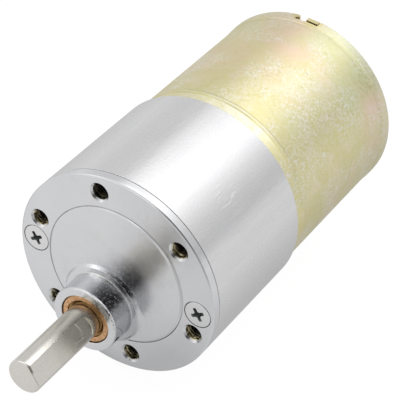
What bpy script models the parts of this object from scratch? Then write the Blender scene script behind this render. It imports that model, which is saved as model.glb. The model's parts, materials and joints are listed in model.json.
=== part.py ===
"""Geared dc motor: 37 mm offset-shaft spur gearbox on a brushed permanent-magnet motor.

Frame: the origin is the centre of the gearbox's front face, on the motor's axis. The motor's axis
is Y, the output shaft points to -Y and stands below the axis (-Z), and +Z is up. Lengths are in
millimetres and become metres as the meshes are made. Angles are in degrees unless said otherwise,
anticlockwise as seen from the front, from +X towards +Z.
"""

import math

import bmesh
import bpy
from mathutils import Vector

METRES_PER_MM = 0.001
SHARP_ANGLE = 32.0  # edges that turn more than this are shaded sharp
CUTTER_TURN = 0.037  # radians; keeps a helper's corners off the corners of what it meets
RUNNING = 0.05  # radial clearance of a running fit
AXIS = (0.0, 0.0)  # a centre is an (x, z) point
OPPOSITE = ((1, 0.0), (2, 180.0))  # number and turn of two parts that face each other

# slot: base colour, metallic, roughness
MATERIALS = {
    "plated_steel": ((0.78, 0.78, 0.79), 1.0, 0.28),
    "cast_housing": ((0.80, 0.80, 0.80), 1.0, 0.36),
    "zinc_yellow": ((0.78, 0.72, 0.46), 1.0, 0.38),
    "shaft_steel": ((0.62, 0.60, 0.56), 1.0, 0.26),
    "bronze": ((0.60, 0.36, 0.20), 1.0, 0.35),
    "screw_zinc": ((0.74, 0.75, 0.74), 1.0, 0.32),
    "gear_steel": ((0.45, 0.45, 0.46), 1.0, 0.35),
    "gear_brass": ((0.72, 0.55, 0.26), 1.0, 0.32),
    "lamination": ((0.35, 0.35, 0.37), 1.0, 0.45),
    "enamelled_copper": ((0.62, 0.26, 0.12), 1.0, 0.35),
    "commutator_copper": ((0.75, 0.42, 0.26), 1.0, 0.30),
    "ferrite": ((0.09, 0.09, 0.10), 0.0, 0.70),
    "carbon": ((0.05, 0.05, 0.05), 0.0, 0.65),
    "phenolic": ((0.20, 0.10, 0.05), 0.0, 0.60),
    "terminal_tin": ((0.80, 0.78, 0.72), 1.0, 0.30),
    "nylon": ((0.85, 0.84, 0.78), 0.0, 0.50),
}

for old in list(bpy.data.objects):
    bpy.data.objects.remove(old, do_unlink=True)


# ======================================================================= solids
# A solid made without a material slot is a hidden helper for a boolean.
def material(slot):
    found = bpy.data.materials.get(slot)
    if found:
        return found
    colour, metallic, roughness = MATERIALS[slot]
    made = bpy.data.materials.new(slot)
    made.use_nodes = True
    shader = made.node_tree.nodes["Principled BSDF"]
    shader.inputs["Base Color"].default_value = (*colour, 1.0)
    shader.inputs["Metallic"].default_value = metallic
    shader.inputs["Roughness"].default_value = roughness
    made.diffuse_color = (*colour, 1.0)
    return made


def polar(radius, degrees, centre=AXIS):
    angle = math.radians(degrees)
    return centre[0] + radius * math.cos(angle), centre[1] + radius * math.sin(angle)


def finish(name, draft, centre, slot=None):
    """An object from a bmesh in millimetres, with its origin on the given axis."""
    bmesh.ops.remove_doubles(draft, verts=draft.verts, dist=1e-5)
    bmesh.ops.recalc_face_normals(draft, faces=draft.faces)
    bmesh.ops.translate(draft, verts=draft.verts, vec=Vector((-centre[0], 0.0, -centre[1])))
    bmesh.ops.scale(draft, verts=draft.verts, vec=Vector((METRES_PER_MM,) * 3))
    mesh = bpy.data.meshes.new(name)
    draft.to_mesh(mesh)
    draft.free()
    made = bpy.data.objects.new(name, mesh)
    made.location = (centre[0] * METRES_PER_MM, 0.0, centre[1] * METRES_PER_MM)
    bpy.context.scene.collection.objects.link(made)
    if slot is None:
        made.hide_render = True
        made.display_type = "WIRE"
    else:
        mesh.materials.append(material(slot))
        mesh.shade_smooth()
        mesh.set_sharp_from_angle(angle=math.radians(SHARP_ANGLE))
    return made


def turned(name, centre, profile, segments, slot=None):
    """A closed profile of (radius, y) points turned about the axis through centre."""
    draft = bmesh.new()
    start = CUTTER_TURN if slot is None else 0.0
    rings = []
    for radius, y in profile:
        if radius < 1e-6:
            rings.append([draft.verts.new((centre[0], y, centre[1]))])
            continue
        ring = []
        for i in range(segments):
            angle = start + 2 * math.pi * i / segments
            x = centre[0] + radius * math.cos(angle)
            z = centre[1] + radius * math.sin(angle)
            ring.append(draft.verts.new((x, y, z)))
        rings.append(ring)
    for one, two in zip(rings, rings[1:] + rings[:1]):
        for i in range(segments):
            j = (i + 1) % segments
            corners = [one[i % len(one)], one[j % len(one)], two[j % len(two)], two[i % len(two)]]
            unique = list(dict.fromkeys(corners))
            if len(unique) > 2:
                draft.faces.new(unique)
    return finish(name, draft, centre, slot)


def tube(name, centre, inner, outer, front, back, segments, slot):
    profile = [(inner, front), (outer, front), (outer, back), (inner, back)]
    return turned(name, centre, profile, segments, slot)


def rod(name, centre, radius, front, back, segments, slot=None, chamfer=0.0):
    if chamfer:
        rim = radius - chamfer
        side = [(rim, front), (radius, front + chamfer), (radius, back - chamfer), (rim, back)]
    else:
        side = [(radius, front), (radius, back)]
    return turned(name, centre, [(0, front), *side, (0, back)], segments, slot)


def prism(name, centre, outline, front, back, slot, bore=0.0, bore_segments=0):
    """A flat outline of (x, z) points, less a round bore, extruded along Y."""
    draft = bmesh.new()
    loops = [outline]
    if bore:
        step = 360 / bore_segments
        loops.append([polar(bore, step * i, centre) for i in range(bore_segments)])
    edges = []
    for points in loops:
        verts = [draft.verts.new((x, front, z)) for x, z in points]
        edges += [draft.edges.new(ends) for ends in zip(verts, verts[1:] + verts[:1])]
    bmesh.ops.triangle_fill(draft, use_beauty=True, use_dissolve=False, edges=edges)
    out = bmesh.ops.extrude_face_region(draft, geom=draft.faces[:], use_keep_orig=True)
    moved = [item for item in out["geom"] if isinstance(item, bmesh.types.BMVert)]
    bmesh.ops.translate(draft, verts=moved, vec=Vector((0.0, back - front, 0.0)))
    return finish(name, draft, centre, slot)


def block(name, centre, low, high, slot=None, turn=0.0):
    """A box from low to high, in the axes of centre, turned about that axis."""
    draft = bmesh.new()
    bmesh.ops.create_cube(draft, size=1.0)
    cosine, sine = math.cos(math.radians(turn)), math.sin(math.radians(turn))
    for vert in draft.verts:
        x, y, z = (low[k] + (vert.co[k] + 0.5) * (high[k] - low[k]) for k in range(3))
        vert.co = Vector((centre[0] + x * cosine - z * sine, y, centre[1] + x * sine + z * cosine))
    return finish(name, draft, centre, slot)


def arc_outline(inner, outer, middle, span, steps, centre=AXIS):
    """A sector of a ring, centred on the angle middle."""
    angles = [middle - span / 2 + span * i / steps for i in range(steps + 1)]
    outside = [polar(outer, angle, centre) for angle in angles]
    return outside + [polar(inner, angle, centre) for angle in reversed(angles)]


def boolean(target, other, operation):
    made = target.modifiers.new(other.name, "BOOLEAN")
    made.operation = operation
    made.object = other
    made.solver = "EXACT"


def join(target, other):
    boolean(target, other, "UNION")


def cut(target, *cutters):
    for cutter in cutters:
        boolean(target, cutter, "DIFFERENCE")


# ======================================================================= shared layout
SHAFT_OFFSET = 7.0
OUTPUT = (0.0, -SHAFT_OFFSET)

# a 12-tooth pinion drives a larger wheel at every stage
PINION_TEETH = 12
WHEEL_TEETH = 31
OUTPUT_TEETH = 27
MODULE = 0.4
OUTPUT_MODULE = 0.5
STAGE_DISTANCE = MODULE * (PINION_TEETH + WHEEL_TEETH) / 2
OUTPUT_DISTANCE = OUTPUT_MODULE * (PINION_TEETH + OUTPUT_TEETH) / 2

BOLT_R = 15.5  # 31 mm bolt circle
SCREW_ANGLE = 16.55
SCREW_SPOTS = [(number, polar(BOLT_R, SCREW_ANGLE + turn)) for number, turn in OPPOSITE]

MOTOR_SCREW_CIRCLE_R = 8.5
MOTOR_SCREW_ANGLE = 131.5
MOTOR_SCREW_SPOTS = [
    (number, polar(MOTOR_SCREW_CIRCLE_R, MOTOR_SCREW_ANGLE + turn)) for number, turn in OPPOSITE
]

PIN_R = 1.0
PIN_SOCKET_R = PIN_R + 0.12
FIRST_PIN_ANGLE = SCREW_ANGLE + 30.0
PIN_A = polar(STAGE_DISTANCE, FIRST_PIN_ANGLE)


def second_pin():
    """The point one stage distance from pin A and one output distance from the output axis."""
    dx, dz = OUTPUT[0] - PIN_A[0], OUTPUT[1] - PIN_A[1]
    apart = math.hypot(dx, dz)
    along = (STAGE_DISTANCE**2 - OUTPUT_DISTANCE**2 + apart**2) / (2 * apart)
    aside = math.sqrt(STAGE_DISTANCE**2 - along**2)
    unit_x, unit_z = dx / apart, dz / apart
    return (
        PIN_A[0] + unit_x * along - unit_z * aside,
        PIN_A[1] + unit_z * along + unit_x * aside,
    )


PIN_B = second_pin()
PINS = (("a", PIN_A), ("b", PIN_B))

# ======================================================================= gearbox shell
GEARBOX_R = 18.5
GEARBOX_LENGTH = 26.45
SHELL_SEGMENTS = 56  # of the gearbox and the motor can
EDGE = 0.3  # chamfer of the gearbox's outer edges
COVER_RIM = 1.8  # y where the cover's rim ends, at the seam
COVER_INNER_Y = 3.6  # back face of the cover's spigot
FACE_STEP = 0.2  # the outer ring of the face stands this far behind the plateau
PLATEAU_R = 12.75
SPIGOT_R = 17.0
COVER_CUT_Y = (-1.0, 5.0)  # reach of the cutters of the holes near the rim
COVER_SOCKET_Y = (2.4, 6.0)

BOSS_R = 6.0
BOSS_Y = -5.2
BOSS_EDGE = 0.25
COLLAR_R = 6.9
COLLAR_FOOT_R = 7.5
COLLAR_Y = -0.5
COLLAR_FOOT_Y = 0.08
BOSS_ROOT_Y = 1.0  # buried in the cover
BUSH_R = 4.35
BUSH_GAP = 0.12
BOSS_BORE_Y = (-8.0, 6.0)

BOLT_COUNT = 6
M3_CORE_R = 1.25
M3_MOUTH_R = 1.76

SCREW_HEAD_R = 2.33
SCREW_SEAT_R = 2.45
SCREW_SHANK_R = 1.25
SCREW_HOLE_R = SCREW_SHANK_R + 0.25
SCREW_PILOT_R = SCREW_SHANK_R + 0.15
SCREW_LAND_Y = FACE_STEP + 0.15  # the head's and the seat's cones begin here
SCREW_LENGTH = 8.0
SCREW_POINT = 0.4
DRIVER_HALF_LENGTH = 1.35
DRIVER_HALF_WIDTH = 0.27
DRIVER_FLOOR_Y = FACE_STEP + 0.9
DRIVER_TURN = 34.0  # of the cross, from the screw's own angle

SEAM = 0.12
HOUSING_FRONT_Y = COVER_RIM + SEAM
HOUSING_BORE_R = 17.3
FLOOR_Y = 24.45  # inner face of the housing's floor
FLOOR_CUT_Y = (20.0, 30.0)
POST_R = 2.1
POST_Y = (3.9, 12.0)
PILOT_Y = (1.0, 10.5)
HUB_R = 3.3  # hub on the front of the motor can
HUB_HOLE_R = HUB_R + 0.2
REAR_BUSH_HOLE_R = 2.72
MOTOR_SCREW_HOLE_R = 1.6


def countersunk(name, spot, mouth, core, land_y, segments):
    """The cutter of a hole with a 45 degree cone that starts at land_y."""
    front, back = COVER_CUT_Y
    profile = [
        (0, front), (mouth, front), (mouth, land_y),
        (core, land_y + mouth - core), (core, back), (0, back),
    ]
    return turned(name, spot, profile, segments)


def build_front_cover():
    profile = [
        (0, 0),
        (PLATEAU_R - 0.1, 0),
        (PLATEAU_R + 0.1, FACE_STEP),
        (GEARBOX_R - EDGE, FACE_STEP),
        (GEARBOX_R, FACE_STEP + EDGE),
        (GEARBOX_R, COVER_RIM),
        (SPIGOT_R, COVER_RIM),
        (SPIGOT_R, COVER_INNER_Y),
        (0, COVER_INNER_Y),
    ]
    boss_profile = [
        (0, BOSS_Y),
        (BOSS_R - BOSS_EDGE, BOSS_Y),
        (BOSS_R, BOSS_Y + BOSS_EDGE),
        (BOSS_R, COLLAR_Y - 0.2),
        (BOSS_R + 0.2, COLLAR_Y),
        (COLLAR_R, COLLAR_Y),
        (COLLAR_FOOT_R, COLLAR_FOOT_Y),
        (COLLAR_FOOT_R, BOSS_ROOT_Y),
        (0, BOSS_ROOT_Y),
    ]
    cover = turned("front_cover", AXIS, profile, SHELL_SEGMENTS, "plated_steel")
    join(cover, turned("boss_of_cover", OUTPUT, boss_profile, 32))
    cut(cover, rod("cut_boss_bore", OUTPUT, BUSH_R + BUSH_GAP, *BOSS_BORE_Y, 32))
    for k in range(BOLT_COUNT):
        spot = polar(BOLT_R, 360 / BOLT_COUNT * k)
        cut(cover, countersunk(f"cut_m3_{k + 1}", spot, M3_MOUTH_R, M3_CORE_R, FACE_STEP, 14))
    for number, spot in SCREW_SPOTS:
        name = f"cut_screw_seat_{number}"
        cut(cover, countersunk(name, spot, SCREW_SEAT_R, SCREW_HOLE_R, SCREW_LAND_Y, 20))
    for label, spot in PINS:
        cut(cover, rod(f"cut_cover_pin_{label}", spot, PIN_SOCKET_R, *COVER_SOCKET_Y, 12))


def build_cover_screws():
    profile = [
        (0, FACE_STEP),
        (SCREW_HEAD_R, FACE_STEP),
        (SCREW_HEAD_R, SCREW_LAND_Y),
        (SCREW_SHANK_R, SCREW_LAND_Y + SCREW_HEAD_R - SCREW_SHANK_R),
        (SCREW_SHANK_R, SCREW_LENGTH - SCREW_POINT),
        (SCREW_SHANK_R - SCREW_POINT, SCREW_LENGTH),
        (0, SCREW_LENGTH),
    ]
    for (number, spot), (_, turn) in zip(SCREW_SPOTS, OPPOSITE):
        screw = turned(f"cover_screw_{number}", spot, profile, 20, "screw_zinc")
        for arm in range(2):
            # the second arm is nudged so that no faces of the two coincide
            nudge = 0.003 * arm
            floor_y = DRIVER_FLOOR_Y + 0.01 * arm
            cut(screw, block(
                f"cut_driver_{number}_{arm + 1}",
                spot,
                (-DRIVER_HALF_LENGTH, COVER_CUT_Y[0], -DRIVER_HALF_WIDTH + nudge),
                (DRIVER_HALF_LENGTH, floor_y, DRIVER_HALF_WIDTH + nudge),
                turn=SCREW_ANGLE + turn + DRIVER_TURN + 90 * arm,
            ))


def build_housing():
    profile = [
        (HOUSING_BORE_R, HOUSING_FRONT_Y),
        (GEARBOX_R, HOUSING_FRONT_Y),
        (GEARBOX_R, GEARBOX_LENGTH - EDGE),
        (GEARBOX_R - EDGE, GEARBOX_LENGTH),
        (0, GEARBOX_LENGTH),
        (0, FLOOR_Y),
        (HOUSING_BORE_R, FLOOR_Y),
    ]
    housing = turned("gearbox_housing", AXIS, profile, SHELL_SEGMENTS, "cast_housing")
    for number, spot in SCREW_SPOTS:
        join(housing, rod(f"screw_post_{number}", spot, POST_R, *POST_Y, 16))
    for number, spot in SCREW_SPOTS:
        cut(housing, rod(f"cut_screw_pilot_{number}", spot, SCREW_PILOT_R, *PILOT_Y, 12))
    cut(housing, rod("cut_motor_hub", AXIS, HUB_HOLE_R, *FLOOR_CUT_Y, 24))
    cut(housing, rod("cut_rear_bush", OUTPUT, REAR_BUSH_HOLE_R, *FLOOR_CUT_Y, 20))
    for label, spot in PINS:
        cut(housing, rod(f"cut_floor_pin_{label}", spot, PIN_SOCKET_R, *FLOOR_CUT_Y, 12))
    for number, spot in MOTOR_SCREW_SPOTS:
        name = f"cut_motor_screw_{number}"
        cut(housing, rod(name, spot, MOTOR_SCREW_HOLE_R, *FLOOR_CUT_Y, 12))


# ======================================================================= output
SHAFT_R = 3.0
SHAFT_BORE_R = SHAFT_R + RUNNING
SHAFT_TIP_Y = -21.2
SHAFT_CHAMFER = 0.22
SHAFT_SHOULDER_Y = 10.3
SHAFT_END_Y = 25.8
JOURNAL_R = 1.5  # the thin rear part of the shaft
GROOVE_R = 2.6
GROOVE_Y = (9.1, 9.8)
BUSH_FACE_Y = -4.9
BUSH_BACK_Y = COVER_INNER_Y + 0.2

FLAT_ANGLE = 49.5  # direction that the D flat faces
FLAT_DISTANCE = 2.35  # from the shaft's axis to the flat
FLAT_END_Y = -9.0  # the flat's level part ends here, and the cutter's run-out begins
FLAT_RUNOUT_Y = -6.3
SLAB_TOP = 6.0  # from the shaft's axis to the outer side of the flat's cutter
SLAB_HALF_WIDTH = 4.0

THRUST_WASHER_R = 4.4
THRUST_WASHER_Y = (4.1, 4.9)
REAR_BUSH_R = 2.6
REAR_BUSH_Y = (24.3, 26.2)
CIRCLIP_R = (2.7, 4.1)
CIRCLIP_Y = (9.2, 9.7)
CIRCLIP_SPAN = 320.0  # its gap faces up
CIRCLIP_MIDDLE = 270.0


def build_output_bushings():
    profile = [
        (SHAFT_BORE_R, BOSS_Y + 0.95),
        (3.4, BOSS_Y + 0.6),
        (3.45, BUSH_FACE_Y),
        (BUSH_R, BUSH_FACE_Y),
        (BUSH_R, BUSH_BACK_Y),
        (SHAFT_BORE_R, BUSH_BACK_Y),
    ]
    turned("output_bushing", OUTPUT, profile, 32, "bronze")
    name = "output_rear_bushing"
    tube(name, OUTPUT, JOURNAL_R + RUNNING, REAR_BUSH_R, *REAR_BUSH_Y, 20, "bronze")


def flat_cutter():
    """A slab whose end slopes out of the shaft, as the milling cutter leaves it."""
    slab = [  # (distance from the shaft's axis, y)
        (FLAT_DISTANCE, SHAFT_TIP_Y - 1),
        (SLAB_TOP, SHAFT_TIP_Y - 1),
        (SLAB_TOP, FLAT_RUNOUT_Y),
        (SHAFT_R + 0.02, FLAT_RUNOUT_Y),
        (FLAT_DISTANCE + 0.12, (FLAT_END_Y + FLAT_RUNOUT_Y) / 2 - 0.2),
        (FLAT_DISTANCE, FLAT_END_Y),
    ]
    cosine, sine = math.cos(math.radians(FLAT_ANGLE)), math.sin(math.radians(FLAT_ANGLE))
    draft = bmesh.new()
    ends = []
    for side in (-SLAB_HALF_WIDTH, SLAB_HALF_WIDTH):
        end = []
        for out, y in slab:
            x = OUTPUT[0] + out * cosine - side * sine
            z = OUTPUT[1] + out * sine + side * cosine
            end.append(draft.verts.new((x, y, z)))
        ends.append(end)
    one, two = ends
    draft.faces.new(one)
    draft.faces.new(two[::-1])
    for i in range(len(slab)):
        j = (i + 1) % len(slab)
        draft.faces.new([one[i], one[j], two[j], two[i]])
    return finish("cut_shaft_flat", draft, OUTPUT)


def build_output_shaft():
    profile = [
        (0, SHAFT_TIP_Y),
        (SHAFT_R - SHAFT_CHAMFER, SHAFT_TIP_Y),
        (SHAFT_R, SHAFT_TIP_Y + SHAFT_CHAMFER),
        (SHAFT_R, GROOVE_Y[0]),
        (GROOVE_R, GROOVE_Y[0]),
        (GROOVE_R, GROOVE_Y[1]),
        (SHAFT_R, GROOVE_Y[1]),
        (SHAFT_R, SHAFT_SHOULDER_Y),
        (JOURNAL_R, SHAFT_SHOULDER_Y),
        (JOURNAL_R, SHAFT_END_Y),
        (0, SHAFT_END_Y),
    ]
    cut(turned("output_shaft", OUTPUT, profile, 32, "shaft_steel"), flat_cutter())


def build_output_rings():
    name = "output_thrust_washer"
    tube(name, OUTPUT, SHAFT_BORE_R, THRUST_WASHER_R, *THRUST_WASHER_Y, 24, "gear_steel")
    outline = arc_outline(*CIRCLIP_R, CIRCLIP_MIDDLE, CIRCLIP_SPAN, 16, OUTPUT)
    prism("output_circlip", OUTPUT, outline, *CIRCLIP_Y, "gear_steel")


# ======================================================================= gear train
PRESSURE_ANGLE = math.radians(20)
SHIFT = 0.2  # profile shift of the pinions, taken off the wheels
ADDENDUM = 1.0  # in modules
DEDENDUM = 1.25  # in modules
BACKLASH = 0.05  # taken off every tooth's thickness

MOTOR_SHAFT_R = 1.5
MOTOR_FIT_R = MOTOR_SHAFT_R + 0.04  # bore of the parts carried by the motor shaft
MOTOR_PINION_Y = (20.9, 23.8)
OUTPUT_GEAR_Y = (5.2, 8.8)
PIN_Y = (2.7, 25.8)
PIN_CHAMFER = 0.2
PIN_BORE_R = PIN_R + RUNNING
HUB_STEP = 1.7  # radius of the pinion's hub, inside the wheel
HUB_INNER_R = PIN_R + 0.2
HUB_OVERLAP = 0.6  # the hub starts this far in front of the wheel
PINION_GAP = 0.1  # from the pinion's teeth to the wheel
WHEEL_BORE_R = HUB_STEP + 0.05

# name, pin, pinion's module, pinion's front y, wheel's front y, wheel's back y, wheel's slot
STAGES = (
    ("stage_1", PIN_A, MODULE, 17.2, 21.3, 23.1, "gear_brass"),
    ("stage_2", PIN_B, MODULE, 13.6, 17.7, 19.5, "gear_steel"),
    ("stage_3", PIN_A, MODULE, 10.0, 14.1, 15.9, "gear_steel"),
    ("stage_4", PIN_B, OUTPUT_MODULE, 5.0, 10.5, 12.3, "gear_steel"),
)
SPACER_R = 1.6
# name, pin, front y, back y
SPACERS = (
    ("a_front", PIN_A, 3.8, 9.8),
    ("a_middle", PIN_A, 16.1, 17.0),
    ("a_rear", PIN_A, 23.3, 24.25),
    ("b_front", PIN_B, 3.8, 4.8),
    ("b_middle", PIN_B, 12.5, 13.4),
    ("b_rear", PIN_B, 19.7, 24.25),
)


def gear_outline(centre, teeth, module, shift, phase):
    """Straight-flanked teeth through points of an involute, one centred on phase (radians)."""
    pitch_r = module * teeth / 2
    base_r = pitch_r * math.cos(PRESSURE_ANGLE)
    tip_r = pitch_r + module * (ADDENDUM + shift)
    root_r = pitch_r - module * (DEDENDUM - shift)
    half = (math.pi / 2 + 2 * shift * math.tan(PRESSURE_ANGLE)) / teeth - BACKLASH / 2 / pitch_r

    def roll(angle):
        return math.tan(angle) - angle

    def half_at(radius):
        """Half a tooth's angle; below the base circle the flank is radial."""
        return half + roll(PRESSURE_ANGLE) - roll(math.acos(min(1.0, base_r / radius)))

    # a pinion's flank has a corner on its base circle
    radii = [root_r, base_r, tip_r] if teeth == PINION_TEETH else [root_r, tip_r]
    flanks = [(radius, -half_at(radius)) for radius in radii]
    flanks += [(radius, half_at(radius)) for radius in reversed(radii)]
    points = []
    for tooth in range(teeth):
        middle = phase + 2 * math.pi * tooth / teeth
        for radius, offset in flanks:
            x = centre[0] + radius * math.cos(middle + offset)
            z = centre[1] + radius * math.sin(middle + offset)
            points.append((x, z))
    return points


def meshing_phase(centre, phase, other, other_teeth):
    """The phase, in radians, that fits the other gear to a pinion of the given phase."""
    towards = math.atan2(other[1] - centre[1], other[0] - centre[0])
    turn = (towards - phase) / (2 * math.pi / PINION_TEETH)
    return towards + math.pi - (2 * math.pi / other_teeth) * (0.5 - turn)


def pinion(name, centre, module, phase, front, back, slot, bore):
    outline = gear_outline(centre, PINION_TEETH, module, SHIFT, phase)
    return prism(name, centre, outline, front, back, slot, bore, 16)


def wheel(name, centre, teeth, module, phase, front, back, slot, bore):
    outline = gear_outline(centre, teeth, module, -SHIFT, phase)
    return prism(name, centre, outline, front, back, slot, bore, 20)


def stage_gear(name, spot, module, phase, front, wheel_front, wheel_back, slot):
    """A wheel on the shouldered hub of its pinion, behind the pinion's teeth."""
    pinion_back = wheel_front - PINION_GAP
    teeth = pinion(
        f"{name}_pinion", spot, module, phase, front, pinion_back, "gear_steel", PIN_BORE_R
    )
    hub_front = wheel_front - HUB_OVERLAP
    profile = [
        (HUB_INNER_R, hub_front), (HUB_STEP, hub_front),
        (HUB_STEP, wheel_back), (HUB_INNER_R, wheel_back),
    ]
    join(teeth, turned(f"{name}_hub", spot, profile, 16))
    wheel(
        f"{name}_wheel", spot, WHEEL_TEETH, MODULE, phase,
        wheel_front, wheel_back, slot, WHEEL_BORE_R,
    )


def build_gear_train():
    """Each gear meshes with the pinion before it, from the motor to the output."""
    driver, phase = AXIS, math.radians(FIRST_PIN_ANGLE)
    pinion("motor_pinion", AXIS, MODULE, phase, *MOTOR_PINION_Y, "gear_brass", MOTOR_FIT_R)
    for name, spot, module, *rest in STAGES:
        phase = meshing_phase(driver, phase, spot, WHEEL_TEETH)
        stage_gear(name, spot, module, phase, *rest)
        driver = spot
    phase = meshing_phase(driver, phase, OUTPUT, OUTPUT_TEETH)
    wheel(
        "output_gear", OUTPUT, OUTPUT_TEETH, OUTPUT_MODULE, phase,
        *OUTPUT_GEAR_Y, "gear_steel", SHAFT_BORE_R,
    )


def build_pins_and_spacers():
    for label, spot in PINS:
        rod(f"gear_pin_{label}", spot, PIN_R, *PIN_Y, 16, "gear_steel", PIN_CHAMFER)
    for name, spot, front, back in SPACERS:
        tube(f"spacer_{name}", spot, PIN_BORE_R, SPACER_R, front, back, 16, "nylon")


# ======================================================================= motor shell
CAN_R = 17.85
CAN_REAR_R = 18.02
CAN_FRONT_Y = 26.6
CAN_SHOULDER_Y = 29.15  # the drawn shoulder widens to the full radius here
CAN_REAR_Y = 60.1
CAN_REAR_EDGE = 0.25
CAN_INNER_R = CAN_R - 1.2
CAN_INNER_Y = CAN_FRONT_Y + 1.6
CAN_GROOVE_R = CAN_R - 0.12
HUB_BORE_R = 2.68
HUB_FRONT_Y = 25.1
CAN_SCREW_HOLE_R = 1.5
CAN_SCREW_HOLE_Y = (25.8, 30.0)
NOTCH_ANGLE = 106.3
NOTCH_WIDTH = 3.95
NOTCH_Y = 58.42
FRONT_BEARING_R = 2.58
FRONT_BEARING_Y = (25.2, 29.0)

END_PLATE_FRONT = 58.8
END_PLATE_BACK = 59.8
END_PLATE_R = CAN_INNER_R - 0.2
END_PLATE_BORE_R = 3.12
TAB_ANGLE = 104.1
TAB_WIDTH = 2.26
VENT_R = 1.9
VENT_CIRCLE_R = 10.6
VENT_ANGLE = -40.0
PLATE_CUT_Y = (57.5, 61.0)

# centre of the first terminal; the second is turned half round the axis
TERMINAL_X = 7.0
TERMINAL_Z = 8.6

MOTOR_SCREW_PROFILE = [  # (radius, y)
    (0, 22.75), (2.1, 22.75), (2.6, 23.25), (2.6, 24.35), (1.35, 24.35), (1.35, 28.8), (0, 28.8),
]


def terminal_box(name, half_thickness, half_width, front, back, turn, slot=None):
    """A box about the terminal's centre line."""
    low = (TERMINAL_X - half_thickness, front, TERMINAL_Z - half_width)
    high = (TERMINAL_X + half_thickness, back, TERMINAL_Z + half_width)
    return block(name, AXIS, low, high, slot, turn)


def vent_cutter(name, turn, front, back):
    return rod(name, polar(VENT_CIRCLE_R, VENT_ANGLE + turn), VENT_R, front, back, 16)


def build_motor_can():
    profile = [
        (HUB_BORE_R, HUB_FRONT_Y),
        (HUB_R, HUB_FRONT_Y),
        (HUB_R, CAN_FRONT_Y),
        (CAN_R - 1.4, CAN_FRONT_Y),
        (CAN_R - 0.75, CAN_FRONT_Y + 0.45),
        (CAN_R, CAN_SHOULDER_Y),
        (CAN_R, 56.9),
        (CAN_GROOVE_R, 57.05),
        (CAN_GROOVE_R, 57.35),
        (CAN_REAR_R, 57.6),
        (CAN_REAR_R, CAN_REAR_Y - CAN_REAR_EDGE),
        (CAN_REAR_R - CAN_REAR_EDGE, CAN_REAR_Y),
        (CAN_INNER_R, CAN_REAR_Y),
        (CAN_INNER_R, CAN_INNER_Y),
        (HUB_BORE_R, CAN_INNER_Y),
    ]
    can = turned("motor_can", AXIS, profile, SHELL_SEGMENTS, "zinc_yellow")
    for (number, spot), (_, turn) in zip(MOTOR_SCREW_SPOTS, OPPOSITE):
        cut(
            can,
            rod(f"cut_can_screw_{number}", spot, CAN_SCREW_HOLE_R, *CAN_SCREW_HOLE_Y, 12),
            block(
                f"cut_rear_notch_{number}",
                AXIS,
                (CAN_INNER_R - 1.0, NOTCH_Y, -NOTCH_WIDTH / 2),
                (CAN_REAR_R + 1.0, CAN_REAR_Y + 1.0, NOTCH_WIDTH / 2),
                turn=NOTCH_ANGLE + turn,
            ),
        )


def build_motor_screws():
    for number, spot in MOTOR_SCREW_SPOTS:
        turned(f"motor_screw_{number}", spot, MOTOR_SCREW_PROFILE, 20, "screw_zinc")


def build_end_plate():
    profile = [
        (END_PLATE_BORE_R, END_PLATE_FRONT),
        (END_PLATE_R, END_PLATE_FRONT),
        (END_PLATE_R, END_PLATE_BACK),
        (4.7, END_PLATE_BACK),
        (4.4, END_PLATE_BACK + 0.3),
        (4.4, 61.1),
        (4.2, 61.3),
        (END_PLATE_BORE_R, 61.3),
    ]
    plate = turned("motor_end_plate", AXIS, profile, 48, "zinc_yellow")
    for number, turn in OPPOSITE:
        join(plate, block(
            f"key_tab_{number}",
            AXIS,
            (CAN_INNER_R - 2.0, END_PLATE_FRONT + 0.02, -TAB_WIDTH / 2),
            (CAN_R - 0.15, END_PLATE_BACK + 0.08, TAB_WIDTH / 2),
            turn=TAB_ANGLE + turn,
        ))
    for number, turn in OPPOSITE:
        cut(
            plate,
            terminal_box(f"cut_terminal_slot_{number}", 0.9, 1.9, *PLATE_CUT_Y, turn),
            vent_cutter(f"cut_vent_{number}", turn, *PLATE_CUT_Y),
        )


def build_motor_bearings():
    bore = MOTOR_SHAFT_R + RUNNING
    tube("motor_front_bearing", AXIS, bore, FRONT_BEARING_R, *FRONT_BEARING_Y, 20, "bronze")
    profile = [(bore, 57.9), (3.0, 57.9), (3.0, 61.1), (MOTOR_SHAFT_R + 0.35, 61.1), (bore, 60.8)]
    turned("motor_rear_bearing", AXIS, profile, 20, "bronze")


# ======================================================================= field
MAGNET_R = (12.3, 16.4)
MAGNET_Y = (31.0, 50.0)
MAGNET_SPAN = 130.0
CLIP_R = (15.8, 16.4)
CLIP_Y = (33.0, 48.0)
CLIP_SPAN = 42.0


def build_field():
    """Magnets above and below the rotor, with clips at its sides."""
    for number, turn in OPPOSITE:
        magnet = arc_outline(*MAGNET_R, 90 + turn, MAGNET_SPAN, 14)
        prism(f"magnet_{number}", AXIS, magnet, *MAGNET_Y, "ferrite")
        clip = arc_outline(*CLIP_R, 180 + turn, CLIP_SPAN, 8)
        prism(f"magnet_clip_{number}", AXIS, clip, *CLIP_Y, "shaft_steel")


# ======================================================================= rotor
MOTOR_SHAFT_Y = (20.7, 61.0)
MOTOR_SHAFT_CHAMFER = 0.2
ROTOR_WASHER_R = 2.6
FRONT_WASHER_Y = (29.2, 30.0)
REAR_WASHER_Y = (56.8, 57.6)
POLES = 5
POLE_PITCH = 360 / POLES
POLE_ANGLES = [90 + POLE_PITCH * pole for pole in range(POLES)]

CORE_R = 11.6
CORE_Y = (34.0, 47.0)
CORE_HUB_R = 4.2
ARM_HALF_WIDTH = 1.5
SHOE_R = 9.9  # inner radius of a shoe, at its arm
SHOE_TIP_R = SHOE_R + 0.5
SHOE_HALF_SPAN = 28.0

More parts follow.
